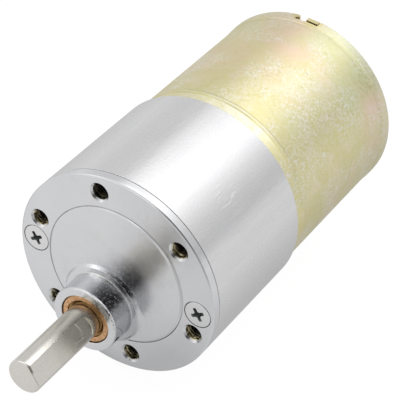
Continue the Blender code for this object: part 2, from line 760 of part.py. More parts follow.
SLOT_TURNS_R = 1.9
SLOT_TURNS_CIRCLE_R = 7.15
SLOT_TURNS_Y = (33.0, 48.0)
FRONT_TURNS = [  # (radius, y)
    (4.7, 31.4), (5.4, 31.0), (8.9, 31.0), (9.6, 31.7), (9.6, 33.7), (4.7, 33.7),
]
REAR_TURNS = [  # (radius, y)
    (4.7, 47.3), (9.6, 47.3), (9.6, 49.3), (8.9, 50.0), (5.4, 50.0), (4.7, 49.6),
]

COMMUTATOR_R = 3.6
COMMUTATOR_Y = (51.0, 56.4)
GAP_FLOOR_R = COMMUTATOR_R - 0.45
GAP_HALF_WIDTH = 0.2


def build_motor_shaft():
    name = "motor_shaft"
    rod(name, AXIS, MOTOR_SHAFT_R, *MOTOR_SHAFT_Y, 20, "shaft_steel", MOTOR_SHAFT_CHAMFER)
    for end, span in (("front", FRONT_WASHER_Y), ("rear", REAR_WASHER_Y)):
        tube(f"rotor_{end}_washer", AXIS, MOTOR_FIT_R, ROTOR_WASHER_R, *span, 16, "nylon")


def build_armature_core():
    hub_half = math.degrees(math.asin(ARM_HALF_WIDTH / CORE_HUB_R))
    neck_half = math.degrees(math.asin(ARM_HALF_WIDTH / SHOE_R))
    pole_points = [  # (radius, angle from the pole's middle)
        (CORE_HUB_R, -POLE_PITCH / 2),
        (CORE_HUB_R, -hub_half),
        (SHOE_R, -neck_half),
        (SHOE_TIP_R, -SHOE_HALF_SPAN),
        *((CORE_R, -SHOE_HALF_SPAN + 2 * SHOE_HALF_SPAN * i / 8) for i in range(9)),
        (SHOE_TIP_R, SHOE_HALF_SPAN),
        (SHOE_R, neck_half),
        (CORE_HUB_R, hub_half),
    ]
    star = [polar(radius, pole + angle) for pole in POLE_ANGLES for radius, angle in pole_points]
    prism("armature_core", AXIS, star, *CORE_Y, "lamination", MOTOR_FIT_R, 20)


def build_winding():
    winding = turned("armature_winding", AXIS, FRONT_TURNS, 24, "enamelled_copper")
    for number, pole in enumerate(POLE_ANGLES, start=1):
        spot = polar(SLOT_TURNS_CIRCLE_R, pole + POLE_PITCH / 2)
        join(winding, rod(f"slot_turns_{number}", spot, SLOT_TURNS_R, *SLOT_TURNS_Y, 8))
    join(winding, turned("rear_end_turns", AXIS, REAR_TURNS, 24))


def build_commutator():
    edge = math.degrees(math.asin(GAP_HALF_WIDTH / COMMUTATOR_R))
    bar = POLE_PITCH - 2 * edge
    ring = []
    for gap in POLE_ANGLES:
        ring += [polar(GAP_FLOOR_R, gap - edge), polar(GAP_FLOOR_R, gap + edge)]
        ring += [polar(COMMUTATOR_R, gap + edge + bar * i / 6) for i in range(7)]
    prism("commutator", AXIS, ring, *COMMUTATOR_Y, "commutator_copper", MOTOR_FIT_R, 20)


# ======================================================================= brush gear
HOLDER_R = (5.4, 16.0)
HOLDER_Y = (57.0, 58.3)
HOLDER_CUT_Y = (56.0, 60.0)
BRUSH_FACE_R = COMMUTATOR_R + 0.08
BRUSH_CUT_Y = (50.0, 58.0)
# low and high corners of the first of each pair
BRUSH = ((2.9, 52.2, -1.5), (5.9, 55.6, 1.5))
BRUSH_ARM = ((6.0, 52.6, -1.6), (6.35, 55.2, 9.8))
# half thickness, half width, front y, back y
TERMINAL_SHOULDER = (0.3, 1.5, 53.0, 60.3)
TERMINAL_BLADE = (0.25, 1.4, 59.0, 64.0)
SOLDER_HOLE_R = 0.6
SOLDER_HOLE_Y = 62.6


def build_brush_holder():
    holder = tube("brush_holder", AXIS, *HOLDER_R, *HOLDER_Y, 40, "phenolic")
    for number, turn in OPPOSITE:
        cut(
            holder,
            terminal_box(f"cut_holder_slot_{number}", 0.5, 1.7, *HOLDER_CUT_Y, turn),
            vent_cutter(f"cut_holder_vent_{number}", turn, *HOLDER_CUT_Y),
        )


def build_brushes():
    for number, turn in OPPOSITE:
        brush = block(f"brush_{number}", AXIS, *BRUSH, "carbon", turn)
        # the brush's face follows the commutator
        cut(brush, rod(f"cut_brush_face_{number}", AXIS, BRUSH_FACE_R, *BRUSH_CUT_Y, 40))
        block(f"brush_arm_{number}", AXIS, *BRUSH_ARM, "commutator_copper", turn)


def solder_hole_cutter(number, side):
    """A rod along X through the blade of the terminal on the given side, 1 or -1."""
    draft = bmesh.new()
    bmesh.ops.create_cone(
        draft, cap_ends=True, segments=12,
        radius1=SOLDER_HOLE_R, radius2=SOLDER_HOLE_R, depth=4.0,
    )
    for vert in draft.verts:
        x, y, z = vert.co
        vert.co = Vector((side * TERMINAL_X + z, SOLDER_HOLE_Y + y, side * TERMINAL_Z + x))
    return finish(f"cut_solder_hole_{number}", draft, AXIS)


def build_terminals():
    """Each blade stands on a wider, thicker shoulder that passes through the holder's slot."""
    for (number, turn), side in zip(OPPOSITE, (1, -1)):
        name = f"terminal_{number}"
        terminal = terminal_box(name, *TERMINAL_SHOULDER, turn, "terminal_tin")
        join(terminal, terminal_box(f"blade_of_{name}", *TERMINAL_BLADE, turn))
        cut(terminal, solder_hole_cutter(number, side))


build_front_cover()
build_cover_screws()
build_housing()
build_output_bushings()
build_output_shaft()
build_output_rings()
build_pins_and_spacers()
build_gear_train()
build_motor_can()
build_motor_screws()
build_motor_bearings()
build_end_plate()
build_field()
build_motor_shaft()
build_armature_core()
build_winding()
build_commutator()
build_brush_holder()
build_brushes()
build_terminals()
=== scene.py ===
"""Looks of a geared dc motor: fine surfaces, materials, light and camera around the CAD frame.

The motor's axis is Y and the output axis lies 7 mm below it. The output shaft points to -Y (the
front), the motor can to +Y (the rear). Shapes are in millimetres, shader positions in metres.
"""

import json
import math
from functools import reduce

import bmesh
import bpy
from mathutils import Matrix, Vector


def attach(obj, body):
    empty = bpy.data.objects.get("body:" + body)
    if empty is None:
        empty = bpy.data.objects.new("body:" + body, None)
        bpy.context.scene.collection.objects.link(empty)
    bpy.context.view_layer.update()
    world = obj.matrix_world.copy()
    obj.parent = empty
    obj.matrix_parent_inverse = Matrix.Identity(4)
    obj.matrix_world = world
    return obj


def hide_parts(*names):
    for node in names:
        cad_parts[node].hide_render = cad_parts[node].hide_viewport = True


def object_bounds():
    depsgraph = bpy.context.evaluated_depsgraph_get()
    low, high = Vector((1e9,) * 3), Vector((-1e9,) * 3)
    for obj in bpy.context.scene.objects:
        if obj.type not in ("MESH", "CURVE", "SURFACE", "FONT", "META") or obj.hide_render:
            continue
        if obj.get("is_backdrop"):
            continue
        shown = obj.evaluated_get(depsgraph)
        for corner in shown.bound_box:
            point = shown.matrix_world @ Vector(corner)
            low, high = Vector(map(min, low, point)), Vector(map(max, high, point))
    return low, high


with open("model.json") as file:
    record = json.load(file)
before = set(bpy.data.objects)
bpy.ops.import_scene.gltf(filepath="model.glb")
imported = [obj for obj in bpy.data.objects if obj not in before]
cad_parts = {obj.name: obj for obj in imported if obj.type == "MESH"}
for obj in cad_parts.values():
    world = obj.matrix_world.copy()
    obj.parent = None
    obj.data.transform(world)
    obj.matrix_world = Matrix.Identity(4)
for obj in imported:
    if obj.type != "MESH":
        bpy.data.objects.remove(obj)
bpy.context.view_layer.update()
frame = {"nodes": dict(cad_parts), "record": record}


def polar(radius, degrees):
    """x and z of a point at a radius and an angle about the motor's axis."""
    return radius * math.cos(math.radians(degrees)), radius * math.sin(math.radians(degrees))


def pair(radius, degrees):
    """Two places on opposite sides of the motor's axis."""
    return [polar(radius, degrees + 180 * k) for k in range(2)]


# ======================================================================== driving dimensions
MM = 0.001
AXIS = (0.0, 0.0)  # x, z of the motor's axis
OUTPUT = (0.0, -7.0)  # x, z of the output axis
BODY_R = 18.5  # cover and gearbox housing
CAN_R = 17.85  # motor can
CAN_BORE_R = 16.65
SHAFT_R = 3.0  # output shaft
ROTOR_SHAFT_R = 1.5

BOLT_R = 15.5  # circle of the tapped holes and cover screws
SCREW_ANGLE = 16.55
TAPPED_HOLES = [polar(BOLT_R, 60 * k) for k in range(6)]
SCREWS = pair(BOLT_R, SCREW_ANGLE)
MOTOR_SCREWS = pair(8.5, 131.5)
GEAR_PINS = [polar(8.6, SCREW_ANGLE + 30), (8.3696, -1.9987)]
PIN_HOLE_R = 1.12
THREAD_PITCH = 0.5


# ======================================================================== mesh helpers
def soften(path, ring):
    """Corners given as (radius, y[, fillet[, steps]]) become arcs."""
    out = []
    for i, corner in enumerate(path):
        here = Vector(corner[:2])
        fillet = corner[2] if len(corner) > 2 else 0.0
        if not fillet or (not ring and i in (0, len(path) - 1)):
            out.append(tuple(here))
            continue
        before = Vector(path[i - 1][:2]) - here
        after = Vector(path[(i + 1) % len(path)][:2]) - here
        room = 0.48 * min(before.length, after.length)
        before.normalize()
        after.normalize()
        half = before.angle(after) / 2
        back = min(fillet / math.tan(half), room)
        radius = back * math.tan(half)
        middle = here + (before + after).normalized() * (radius / math.sin(half))
        first = here + before * back - middle
        last = here + after * back - middle
        start = math.atan2(first.y, first.x)
        sweep = (math.atan2(last.y, last.x) - start + math.pi) % (2 * math.pi) - math.pi
        steps = corner[3] if len(corner) > 3 else 4
        for k in range(steps + 1):
            t = start + sweep * k / steps
            out.append((middle.x + radius * math.cos(t), middle.y + radius * math.sin(t)))
    return out


def link_object(name, mesh):
    made = bpy.data.objects.new(name, mesh)
    bpy.context.scene.collection.objects.link(made)
    return made


def object_from(name, verts, faces):
    mesh = bpy.data.meshes.new(name)
    mesh.from_pydata([tuple(c * MM for c in v) for v in verts], [], faces)
    bm = bmesh.new()
    bm.from_mesh(mesh)
    bmesh.ops.recalc_face_normals(bm, faces=bm.faces)
    bm.to_mesh(mesh)
    bm.free()
    return link_object(name, mesh)


def lathe(name, centre, path, segments, wave=None, turn=0.0):
    """A profile of (radius, y[, fillet[, steps]]) turned about the Y axis through centre.

    wave(radius, y, angle) may change the radius. A profile that never meets the axis is closed
    on itself. turn (radians) keeps the edges of joined pieces off one another.
    """
    ring = min(p[0] for p in path) > 1e-6
    points = soften(path, ring)
    verts, rows = [], []
    for radius, y in points:
        count = 1 if radius < 1e-6 else segments
        row = []
        for i in range(count):
            a = turn + 2 * math.pi * i / segments
            r = radius if wave is None or count == 1 else wave(radius, y, a)
            row.append(len(verts))
            verts.append((centre[0] + r * math.cos(a), y, centre[1] + r * math.sin(a)))
        rows.append(row)
    faces = []
    for one, two in list(zip(rows, rows[1:])) + ([(rows[-1], rows[0])] if ring else []):
        for i in range(segments):
            j = (i + 1) % segments
            quad = [one[i % len(one)], one[j % len(one)], two[j % len(two)], two[i % len(two)]]
            quad = list(dict.fromkeys(quad))
            if len(quad) > 2:
                faces.append(quad)
    return object_from(name, verts, faces)


def rods(centres, radius, low, high, segments, turn=0.03):
    """Plain cylinders from y low to y high, one at each centre."""
    path = [(0, low), (radius, low), (radius, high), (0, high)]
    return [lathe("rod", centre, path, segments, turn=turn) for centre in centres]


def loft(name, low, high):
    """A closed solid between two outlines of the same number of (x, y, z) points."""
    n = len(low)
    faces = [list(range(n)), list(range(2 * n - 1, n - 1, -1))]
    faces += [[i, (i + 1) % n, n + (i + 1) % n, n + i] for i in range(n)]
    return object_from(name, list(low) + list(high), faces)


def box(name, low, high, turn=0.0):
    """A box between two corners, turned by degrees about the motor's axis."""
    c, s = math.cos(math.radians(turn)), math.sin(math.radians(turn))
    corners = [(low[0], low[2]), (high[0], low[2]), (high[0], high[2]), (low[0], high[2])]
    flat = [(x * c - z * s, x * s + z * c) for x, z in corners]
    return loft(name, [(x, low[1], z) for x, z in flat], [(x, high[1], z) for x, z in flat])


def carve(target, operation, *others):
    """Applies a Boolean with each other object, then removes them."""
    for other in others:
        boolean = target.modifiers.new("b", "BOOLEAN")
        boolean.operation = operation
        boolean.solver = "EXACT"
        boolean.object = other
    bpy.context.view_layer.update()
    depsgraph = bpy.context.evaluated_depsgraph_get()
    done = bpy.data.meshes.new_from_object(target.evaluated_get(depsgraph))
    target.modifiers.clear()
    target.data = done
    for other in others:
        bpy.data.objects.remove(other, do_unlink=True)


def joined(name, objects):
    """One object that holds several separate closed shells, used as a Boolean's operand."""
    bm = bmesh.new()
    for item in objects:
        bm.from_mesh(item.data)
        bpy.data.objects.remove(item, do_unlink=True)
    mesh = bpy.data.meshes.new(name)
    bm.to_mesh(mesh)
    bm.free()
    return link_object(name, mesh)


def tidy(made, sharp, bevel):
    """Cleans the mesh and shades it; sharp is in degrees, bevel in mm."""
    bm = bmesh.new()
    bm.from_mesh(made.data)
    bmesh.ops.remove_doubles(bm, verts=bm.verts, dist=2e-7)
    bmesh.ops.dissolve_degenerate(bm, edges=bm.edges, dist=1e-7)
    bm.to_mesh(made.data)
    bm.free()
    made.data.shade_smooth()
    made.data.set_sharp_from_angle(angle=math.radians(sharp))
    if bevel:
        edges = made.modifiers.new("edges", "BEVEL")
        edges.width = bevel * MM
        edges.segments = 2
        edges.limit_method = "ANGLE"
        edges.angle_limit = math.radians(35)
    normals = made.modifiers.new("normals", "WEIGHTED_NORMAL")
    normals.keep_sharp = True
    normals.weight = 80


def fit(made, slot, cad_node, body="gearmotor_body", sharp=28.0, bevel=0.0, extra=None):
    """Finishes a piece: gives it its material and its body, and hides the CAD node it stands for.

    extra is (material, chooses): chooses(face centre in mm, normal) picks that material's faces.
    """
    tidy(made, sharp, bevel)
    made.data.materials.clear()
    made.data.materials.append(MATERIALS[slot])
    if extra:
        second, chooses = extra
        made.data.materials.append(second)
        for face in made.data.polygons:
            face.material_index = 1 if chooses(face.center / MM, face.normal) else 0
    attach(made, body)
    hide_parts(cad_node)


def thread(y, angle, root, crest):
    """Radius of a thread with flats on its crests and roots."""
    t = (y / THREAD_PITCH - angle / (2 * math.pi)) % 1.0
    v = 1.0 - abs(2.0 * t - 1.0)
    v = min(1.0, max(0.0, (v - 0.14) / 0.72))
    return root + (crest - root) * v


# ======================================================================== shader helpers
class Nodes:
    """A node tree and the sums its shaders share. Values are numbers or sockets."""

    def __init__(self, tree):
        self.tree = tree

    def add(self, kind, values=(), **settings):
        node = self.tree.nodes.new(kind)
        for k, v in settings.items():
            setattr(node, k, v)
        for k, v in dict(values).items():
            self.put(v, node.inputs[k])
        return node

    def put(self, value, socket):
        if isinstance(value, bpy.types.NodeSocket):
            self.tree.links.new(value, socket)
        elif isinstance(value, (tuple, list)) and len(value) == 3 and socket.type == "RGBA":
            socket.default_value = (*value, 1.0)
        else:
            socket.default_value = value

    def math(self, operation, *values):
        return self.add("ShaderNodeMath", enumerate(values), operation=operation).outputs[0]

    def times(self, *values):
        return reduce(lambda a, b: self.math("MULTIPLY", a, b), values)

    def plus(self, a, b):
        return self.math("ADD", a, b)

    def most(self, a, b):
        return self.math("MAXIMUM", a, b)

    def rest(self, value):
        return self.math("SUBTRACT", 1.0, value)

    def span(self, value, over, to=(0.0, 1.0)):
        """Eases from to[0] to to[1] while the value goes over[0] to over[1]."""
        values = enumerate((value, *over, *to))
        return self.add("ShaderNodeMapRange", values, interpolation_type="SMOOTHSTEP").outputs[0]

    def band(self, value, rise, fall):
        """1 between two eased edges, 0 outside."""
        return self.times(self.span(value, over=rise), self.span(value, over=fall))

    def distance(self, a, b):
        squares = self.plus(self.math("POWER", a, 2.0), self.math("POWER", b, 2.0))
        return self.math("SQRT", squares)

    def bearing(self, x, z):
        """Degrees about Y from +X, positive above."""
        return self.times(self.math("ARCTAN2", z, x), 180 / math.pi)

    def blend(self, factor, a, b):
        """a where the factor is 0, b where it is 1."""
        return self.plus(self.times(a, self.rest(factor)), self.times(b, factor))

    def ramp(self, factor, stops, curve):
        """A colour ramp through (position, colour) stops."""
        node = self.add("ShaderNodeValToRGB")
        node.color_ramp.interpolation = curve
        elements = node.color_ramp.elements
        while len(elements) < len(stops):
            elements.new(0.5)
        for element, (position, colour) in zip(elements, stops):
            element.position = position
            element.color = (*colour, 1.0)
        self.put(factor, node.inputs[0])
        return node.outputs[0]

    def table(self, value, low, high, stops, top=2.0):
        """A curve through (place, brightness) stops, for places low to high."""
        share = self.math("DIVIDE", self.math("SUBTRACT", value, low), high - low)
        greys = [((place - low) / (high - low), (level / top,) * 3) for place, level in stops]
        return self.times(self.ramp(share, greys, "LINEAR"), top)

    def mix_shader(self, factor, a, b):
        return self.add("ShaderNodeMixShader", {0: factor, 1: a, 2: b}).outputs[0]

    def output(self, kind, other, seen):
        """Camera rays get the seen shader, all other rays the other one."""
        rays = self.add("ShaderNodeLightPath").outputs["Is Camera Ray"]
        self.add(kind, {0: self.mix_shader(rays, other, seen)})


class Graph(Nodes):
    """A Principled material with textures placed in object space."""

    def __init__(self, slot):
        self.material = bpy.data.materials.new(f"vis_{slot}")
        self.material.use_nodes = True
        super().__init__(self.material.node_tree)
        self.place = self.add("ShaderNodeTexCoord").outputs["Object"]

    def axes(self):
        return self.add("ShaderNodeSeparateXYZ", {0: self.place}).outputs

    def mapped(self, stretch=(1, 1, 1), shift=(0, 0, 0), turn=(0, 0, 0)):
        values = {"Vector": self.place, "Scale": stretch, "Location": shift, "Rotation": turn}
        return self.add("ShaderNodeMapping", values).outputs[0]

    def noise(self, scale, detail=3.0, rough=0.5, distortion=0.0, **mapping):
        values = {
            "Vector": self.mapped(**mapping) if mapping else self.place,
            "Scale": scale,
            "Detail": detail,
            "Roughness": rough,
            "Distortion": distortion,
        }
        return self.add("ShaderNodeTexNoise", values).outputs["Fac"]

    def pores(self, scale, size):
        """1 at the middle of each Voronoi cell, 0 from size outwards."""
        cells = self.add("ShaderNodeTexVoronoi", {"Vector": self.place, "Scale": scale})
        return self.span(cells.outputs["Distance"], over=(0.0, size), to=(1.0, 0.0))

    def mix(self, factor, a, b):
        values = {"Factor": factor, 6: a, 7: b}
        return self.add("ShaderNodeMix", values, data_type="RGBA").outputs[2]

    def coat(self, under, tint, mask, amount=None):
        """Lays a tint over a colour where the mask is 1, at most by the amount."""
        return self.mix(mask if amount is None else self.times(mask, amount), under, tint)

    def spot(self, point, radius, soft=1.0, squash=(1, 1, 1)):
        """1 near a point (mm), falling to 0 at the radius over the soft share of it."""
        away = self.add("ShaderNodeVectorMath", {0: self.place}, operation="SUBTRACT")
        away.inputs[1].default_value = [c * MM for c in point]
        scaled = self.add("ShaderNodeVectorMath", {0: away.outputs[0]}, operation="MULTIPLY")
        scaled.inputs[1].default_value = [1.0 / s for s in squash]
        length = self.add("ShaderNodeVectorMath", {0: scaled.outputs[0]}, operation="LENGTH")
        edges = (radius * MM * (1 - soft), radius * MM)
        return self.span(length.outputs["Value"], over=edges, to=(1.0, 0.0))

    def bump(self, height, strength, depth, under=None):
        """A bump with its depth in mm, over the normal under it."""
        values = {"Strength": strength, "Distance": depth * MM, "Height": height}
        if under is not None:
            values["Normal"] = under
        return self.add("ShaderNodeBump", values).outputs[0]

    def done(self, colour, rough, normal, metallic=1.0, **more):
        shader = self.tree.nodes["Principled BSDF"]
        values = {"Base Color": colour, "Roughness": rough, "Metallic": metallic, "Normal": normal}
        for k, v in {**values, **more}.items():
            self.put(v, shader.inputs[k.replace("_", " ")])
        return self.material


def surface_point(radius, degrees, y):
    x, z = polar(radius, degrees)
    return x, y, z


# ======================================================================== materials
def plated_steel():
    """Bright zinc plating on the turned cover: smoother on the boss, pits and a fine grain."""
    g = Graph("plated_steel")
    x, y, z = g.axes()
    cloud = g.noise(scale=170, rough=0.55)
    ahead = g.span(y, over=(-0.0001, -0.0006))  # the boss, in front of the cover's face
    pitted = g.span(g.noise(scale=420, detail=2), over=(0.53, 0.60))
    pits = g.times(g.pores(scale=1700, size=0.20), g.most(pitted, g.times(ahead, 0.8)))
    stain = g.noise(scale=300, detail=4, rough=0.65, shift=(0.3, 0.1, 0.2))
    stain = g.span(stain, over=(0.52, 0.72))
    colour = g.mix(cloud, (0.640, 0.645, 0.665), (0.70, 0.702, 0.712))
    colour = g.coat(colour, (0.61, 0.595, 0.56), stain, amount=0.30)

    # painted reflection: a thin straw line where the boss meets its collar, broken up by noise
    foot = g.band(y, rise=(-0.00095, -0.00078), fall=(-0.00056, -0.00066))
    uneven = g.noise(scale=700, rough=0.6, shift=(0.4, 0.2, 0.7))
    foot = g.times(foot, g.span(uneven, over=(0.42, 0.62), to=(0.05, 0.34)))
    colour = g.coat(colour, (0.53, 0.46, 0.31), foot)

    # painted shade in the groove around the plateau, patchy, darker on the lower +X side and faded
    # out on the upper +X side
    reach = g.distance(x, z)
    groove = g.band(reach, rise=(0.01266, 0.01270), fall=(0.01287, 0.01283))
    upper_plus_x = g.times(g.span(x, over=(-0.001, 0.004)), g.span(z, over=(-0.001, 0.004)))
    in_groove = g.span(y, over=(0.00001, 0.00006))
    groove = g.times(groove, in_groove, g.rest(g.times(upper_plus_x, 0.8)))
    patchy = g.span(g.noise(scale=260, rough=0.6), over=(0.3, 0.7), to=(0.35, 0.65))
    below = g.span(z, over=(0.001, -0.003))
    below = g.times(below, g.span(x, over=(0.0, 0.006), to=(0.0, 0.3)))
    colour = g.coat(colour, (0.13, 0.13, 0.135), g.times(groove, g.plus(patchy, below)))
    # painted shade: a grey line on the plateau's step, on the upper +X side
    step = g.band(reach, rise=(0.01228, 0.01244), fall=(0.01276, 0.01268))
    colour = g.coat(colour, (0.40, 0.40, 0.41), g.times(step, upper_plus_x), amount=0.45)

    # painted shade: the boss's side is darker towards +X
    side = g.times(ahead, g.span(y, over=(-0.0052, -0.0049)), g.span(x, over=(0.0040, 0.0058)))
    colour = g.coat(colour, (0.30, 0.315, 0.33), side, amount=0.48)

    # painted reflection: a dark crescent on the collar's slope, broken up by noise
    above_output = g.plus(z, -OUTPUT[1] * MM)
    spread = g.distance(x, above_output)
    turned_by = g.bearing(x, above_output)
    slope = g.band(spread, rise=(0.00692, 0.00699), fall=(0.00752, 0.00742))
    arc = g.band(turned_by, rise=(46, 61), fall=(84, 66))
    broken = g.noise(scale=900, rough=0.7, shift=(0.2, 0.5, 0.1))
    crescent = g.times(slope, arc, g.span(broken, over=(0.34, 0.52), to=(0.25, 1.0)))
    colour = g.coat(colour, (0.05, 0.052, 0.058), crescent, amount=0.88)

    # painted dark reflection on the boss's upper side and the plateau above it, broken up by noise
    dark_reflection_end = g.span(spread, over=(0.0074, 0.0082), to=(124.0, 110.0))
    reflection_breakup = g.noise(scale=1500, rough=0.7, shift=(0.35, 0.75, 0.2))
    dark_reflection = g.times(
        g.span(turned_by, over=(51, 68)),
        g.span(turned_by, over=(dark_reflection_end, 78)),
        g.span(spread, over=(0.0074, 0.0080), to=(0.66, 0.80)),
        g.span(spread, over=(0.0080, 0.0132), to=(1.0, 0.15)),
        g.span(spread, over=(0.0058, 0.0060)),
        g.span(reflection_breakup, over=(0.36, 0.62), to=(1.0, 0.72)),
    )
    colour = g.coat(colour, (0.085, 0.088, 0.097), dark_reflection)
    # painted light: a pale spot on the plateau above the boss
    pale = g.spot((5.6, 0.0, 10.2), radius=5.5)
    colour = g.coat(colour, (0.86, 0.86, 0.845), pale, amount=0.5)

    # dark specks along the boss's lip
    specks = g.noise(scale=1900, rough=0.7, shift=(0.6, 0.5, 0.3))
    groups = g.noise(scale=420, detail=2, shift=(0.1, 0.5, 0.9))
    lip = g.times(
        g.span(spread, over=(0.00572, 0.00580)),
        g.span(y, over=(-0.00492, -0.00500)),
        g.band(turned_by, rise=(20, 40), fall=(100, 84)),
        g.span(specks, over=(0.51, 0.56)),
        g.span(groups, over=(0.34, 0.48)),
    )
    colour = g.coat(colour, (0.05, 0.05, 0.05), lip, amount=0.95)

    # fine grey mottle above the boss, and the pits
    beside = g.spot((4.0, 0.0, -0.4), radius=7.8, squash=(1.0, 1.0, 1.25))
    mottle = g.noise(scale=3000, rough=0.75, shift=(0.15, 0.45, 0.35))
    grey = g.times(beside, g.span(mottle, over=(0.44, 0.60)))
    colour = g.coat(colour, (0.36, 0.36, 0.37), grey, amount=0.42)
    colour = g.coat(colour, (0.34, 0.34, 0.35), pits, amount=0.40)

    rough = g.span(cloud, over=(0.25, 0.75), to=(0.19, 0.25))
    rough = g.plus(rough, g.times(stain, 0.05))
    rough = g.math("SUBTRACT", rough, g.times(ahead, 0.115))
    rough = g.plus(rough, g.times(groove, 0.25))

    near_boss = g.span(spread, over=(0.0125, 0.0070))
    dots = g.noise(scale=3100, detail=2, rough=0.6, shift=(0.8, 0.2, 0.5))
    dots = g.times(g.span(dots, over=(0.57, 0.64)), near_boss)
    grain = g.noise(scale=3400, rough=0.65)
    grain_strength = g.most(g.times(near_boss, 0.42), 0.25)
    normal = g.bump(g.noise(scale=700, detail=2), strength=0.18, depth=0.03)
    normal = g.bump(grain, strength=grain_strength, depth=0.013, under=normal)
    normal = g.bump(dots, strength=0.9, depth=0.014, under=normal)
    normal = g.bump(pits, strength=-0.6, depth=0.02, under=normal)
    return g.done(colour, rough, normal)


def cast_housing():
    """Satin plated housing: orange peel, fine streaks along Y, light scuffs."""
    g = Graph("cast_housing")
    cloud = g.noise(scale=120)
    streak = g.noise(scale=1100, rough=0.6, stretch=(1, 0.14, 1))
    peel = g.noise(scale=1500, rough=0.62)
    pitted = g.span(g.noise(scale=260, detail=2), over=(0.55, 0.62))
    pits = g.times(g.pores(scale=900, size=0.13), pitted)
    scuff = g.noise(scale=1300, rough=0.7, stretch=(1, 0.16, 1), turn=(0.0, 0.0, 0.35))
    upper_plus_x = g.spot(surface_point(BODY_R, degrees=64, y=12.5), radius=4.0, soft=0.9)
    scuff = g.times(g.span(scuff, over=(0.55, 0.64)), upper_plus_x)

    colour = g.mix(cloud, (0.655, 0.655, 0.665), (0.70, 0.70, 0.705))
    streaked = g.span(streak, over=(0.45, 0.75), to=(0.0, 0.2))
    colour = g.coat(colour, (0.60, 0.60, 0.61), streaked)
    colour = g.coat(colour, (0.42, 0.42, 0.42), pits, amount=0.4)
    rough = g.span(streak, over=(0.3, 0.7), to=(0.24, 0.31))
    peel_strength = g.span(cloud, over=(0.35, 0.65), to=(0.34, 0.56))
    normal = g.bump(peel, strength=peel_strength, depth=0.03)
    normal = g.bump(streak, strength=0.30, depth=0.010, under=normal)
    normal = g.bump(scuff, strength=0.8, depth=0.03, under=normal)
    normal = g.bump(pits, strength=-0.5, depth=0.02, under=normal)
    return g.done(colour, rough, normal)


# patches on the can's skin: degrees about the axis, y, radius, weight
FILM_R = 17.9
PINK_PATCHES = (
    (112, 56.5, 10.0, 1.0), (100, 50.0, 9.0, 0.85), (96, 41.5, 5.5, 0.45), (130, 44.0, 14.0, 0.45),
    (44, 55.5, 6.5, 1.0), (38, 54.0, 6.0, 0.5), (18, 55.0, 8.0, 0.5), (205, 40.0, 11.0, 0.6),
    (268, 52.0, 12.0, 0.6), (320, 36.0, 10.0, 0.55),
)
GREEN_PATCHES = (
    (86, 57.0, 8.0, 0.9), (66, 57.5, 8.0, 0.9), (78, 44.0, 7.0, 0.6), (60, 51.0, 7.0, 0.7),
    (70, 36.0, 5.0, 0.4), (230, 57.0, 11.0, 0.6), (300, 45.0, 12.0, 0.5), (350, 50.0, 10.0, 0.5),
)
# degrees about the axis, y, radius
CRYSTAL_PATCHES = (
    (70, 40, 13.0), (50, 33, 11.0), (55, 48, 11.0), (104, 31, 7.0),
    (86, 61, 5.5), (66, 60.5, 6.0), (42, 60.5, 6.0), (20, 59, 6.0),
)


def film_spot(g, degrees, y, radius, soft=1.0):
    return g.spot(surface_point(FILM_R, degrees, y), radius, soft)


def with_patches(g, mask, patches):
    for degrees, y, radius, *weight in patches:
        mask = g.most(mask, g.times(film_spot(g, degrees, y, radius), *weight))
    return mask


def chromate_film(g, film):
    """The straw film with its pink and green interference patches."""
    straw = (
        (0.24, (0.72, 0.635, 0.455)),
        (0.40, (0.70, 0.635, 0.395)),
        (0.52, (0.655, 0.60, 0.305)),
        (0.64, (0.655, 0.62, 0.335)),
        (0.80, (0.73, 0.66, 0.47)),
    )
    colour = g.ramp(film, straw, "B_SPLINE")
    broad = g.noise(scale=75, detail=2, distortion=0.6)
    pink = g.span(broad, over=(0.56, 0.72), to=(0.0, 0.35))
    pink = with_patches(g, pink, PINK_PATCHES)
    green = g.span(broad, over=(0.44, 0.28), to=(0.0, 0.3))
    green = with_patches(g, green, GREEN_PATCHES)
    uneven = g.noise(scale=260, rough=0.6, shift=(0.5, 0.5, 0.1))
    uneven = g.span(uneven, over=(0.3, 0.7), to=(0.45, 1.0))
    colour = g.coat(colour, (0.78, 0.57, 0.455), pink, amount=uneven)
    return g.coat(colour, (0.60, 0.645, 0.38), green, amount=uneven)


def chromate_crystals(g, colour, flake):
    """Small pale flecks and olive specks, gathered in patches."""
    where = g.noise(scale=160, detail=2, shift=(0.7, 0.2, 0.9))
    crowd = g.span(where, over=(0.42, 0.60), to=(0.12, 0.9))
    crowd = with_patches(g, crowd, CRYSTAL_PATCHES)
    pale = g.times(g.span(flake, over=(0.51, 0.57)), crowd)
    big = g.noise(scale=900, detail=4, rough=0.75, distortion=1.5, shift=(0.2, 0.6, 0.3))
    big = g.times(g.span(big, over=(0.55, 0.63)), crowd)
    pale = g.most(pale, g.times(big, 0.8))

    dark = g.noise(scale=1200, detail=4, rough=0.75, shift=(0.9, 0.1, 0.4))
    dark = g.span(dark, over=(0.54, 0.66), to=(0.0, 0.55))
    dark = g.times(dark, g.span(where, over=(0.30, 0.62), to=(0.35, 1.0)))
    rear_dark = g.noise(scale=1500, detail=4, rough=0.75, shift=(0.45, 0.2, 0.8))
    rear_dark = g.span(rear_dark, over=(0.46, 0.60))
    rear_spot = film_spot(g, degrees=60, y=58.5, radius=8.0, soft=0.9)
    dark = g.most(dark, g.times(rear_dark, g.times(rear_spot, 0.75)))
    colour = g.coat(colour, (0.50, 0.475, 0.235), dark)
    return g.coat(colour, (0.79, 0.775, 0.74), pale, amount=0.85), pale


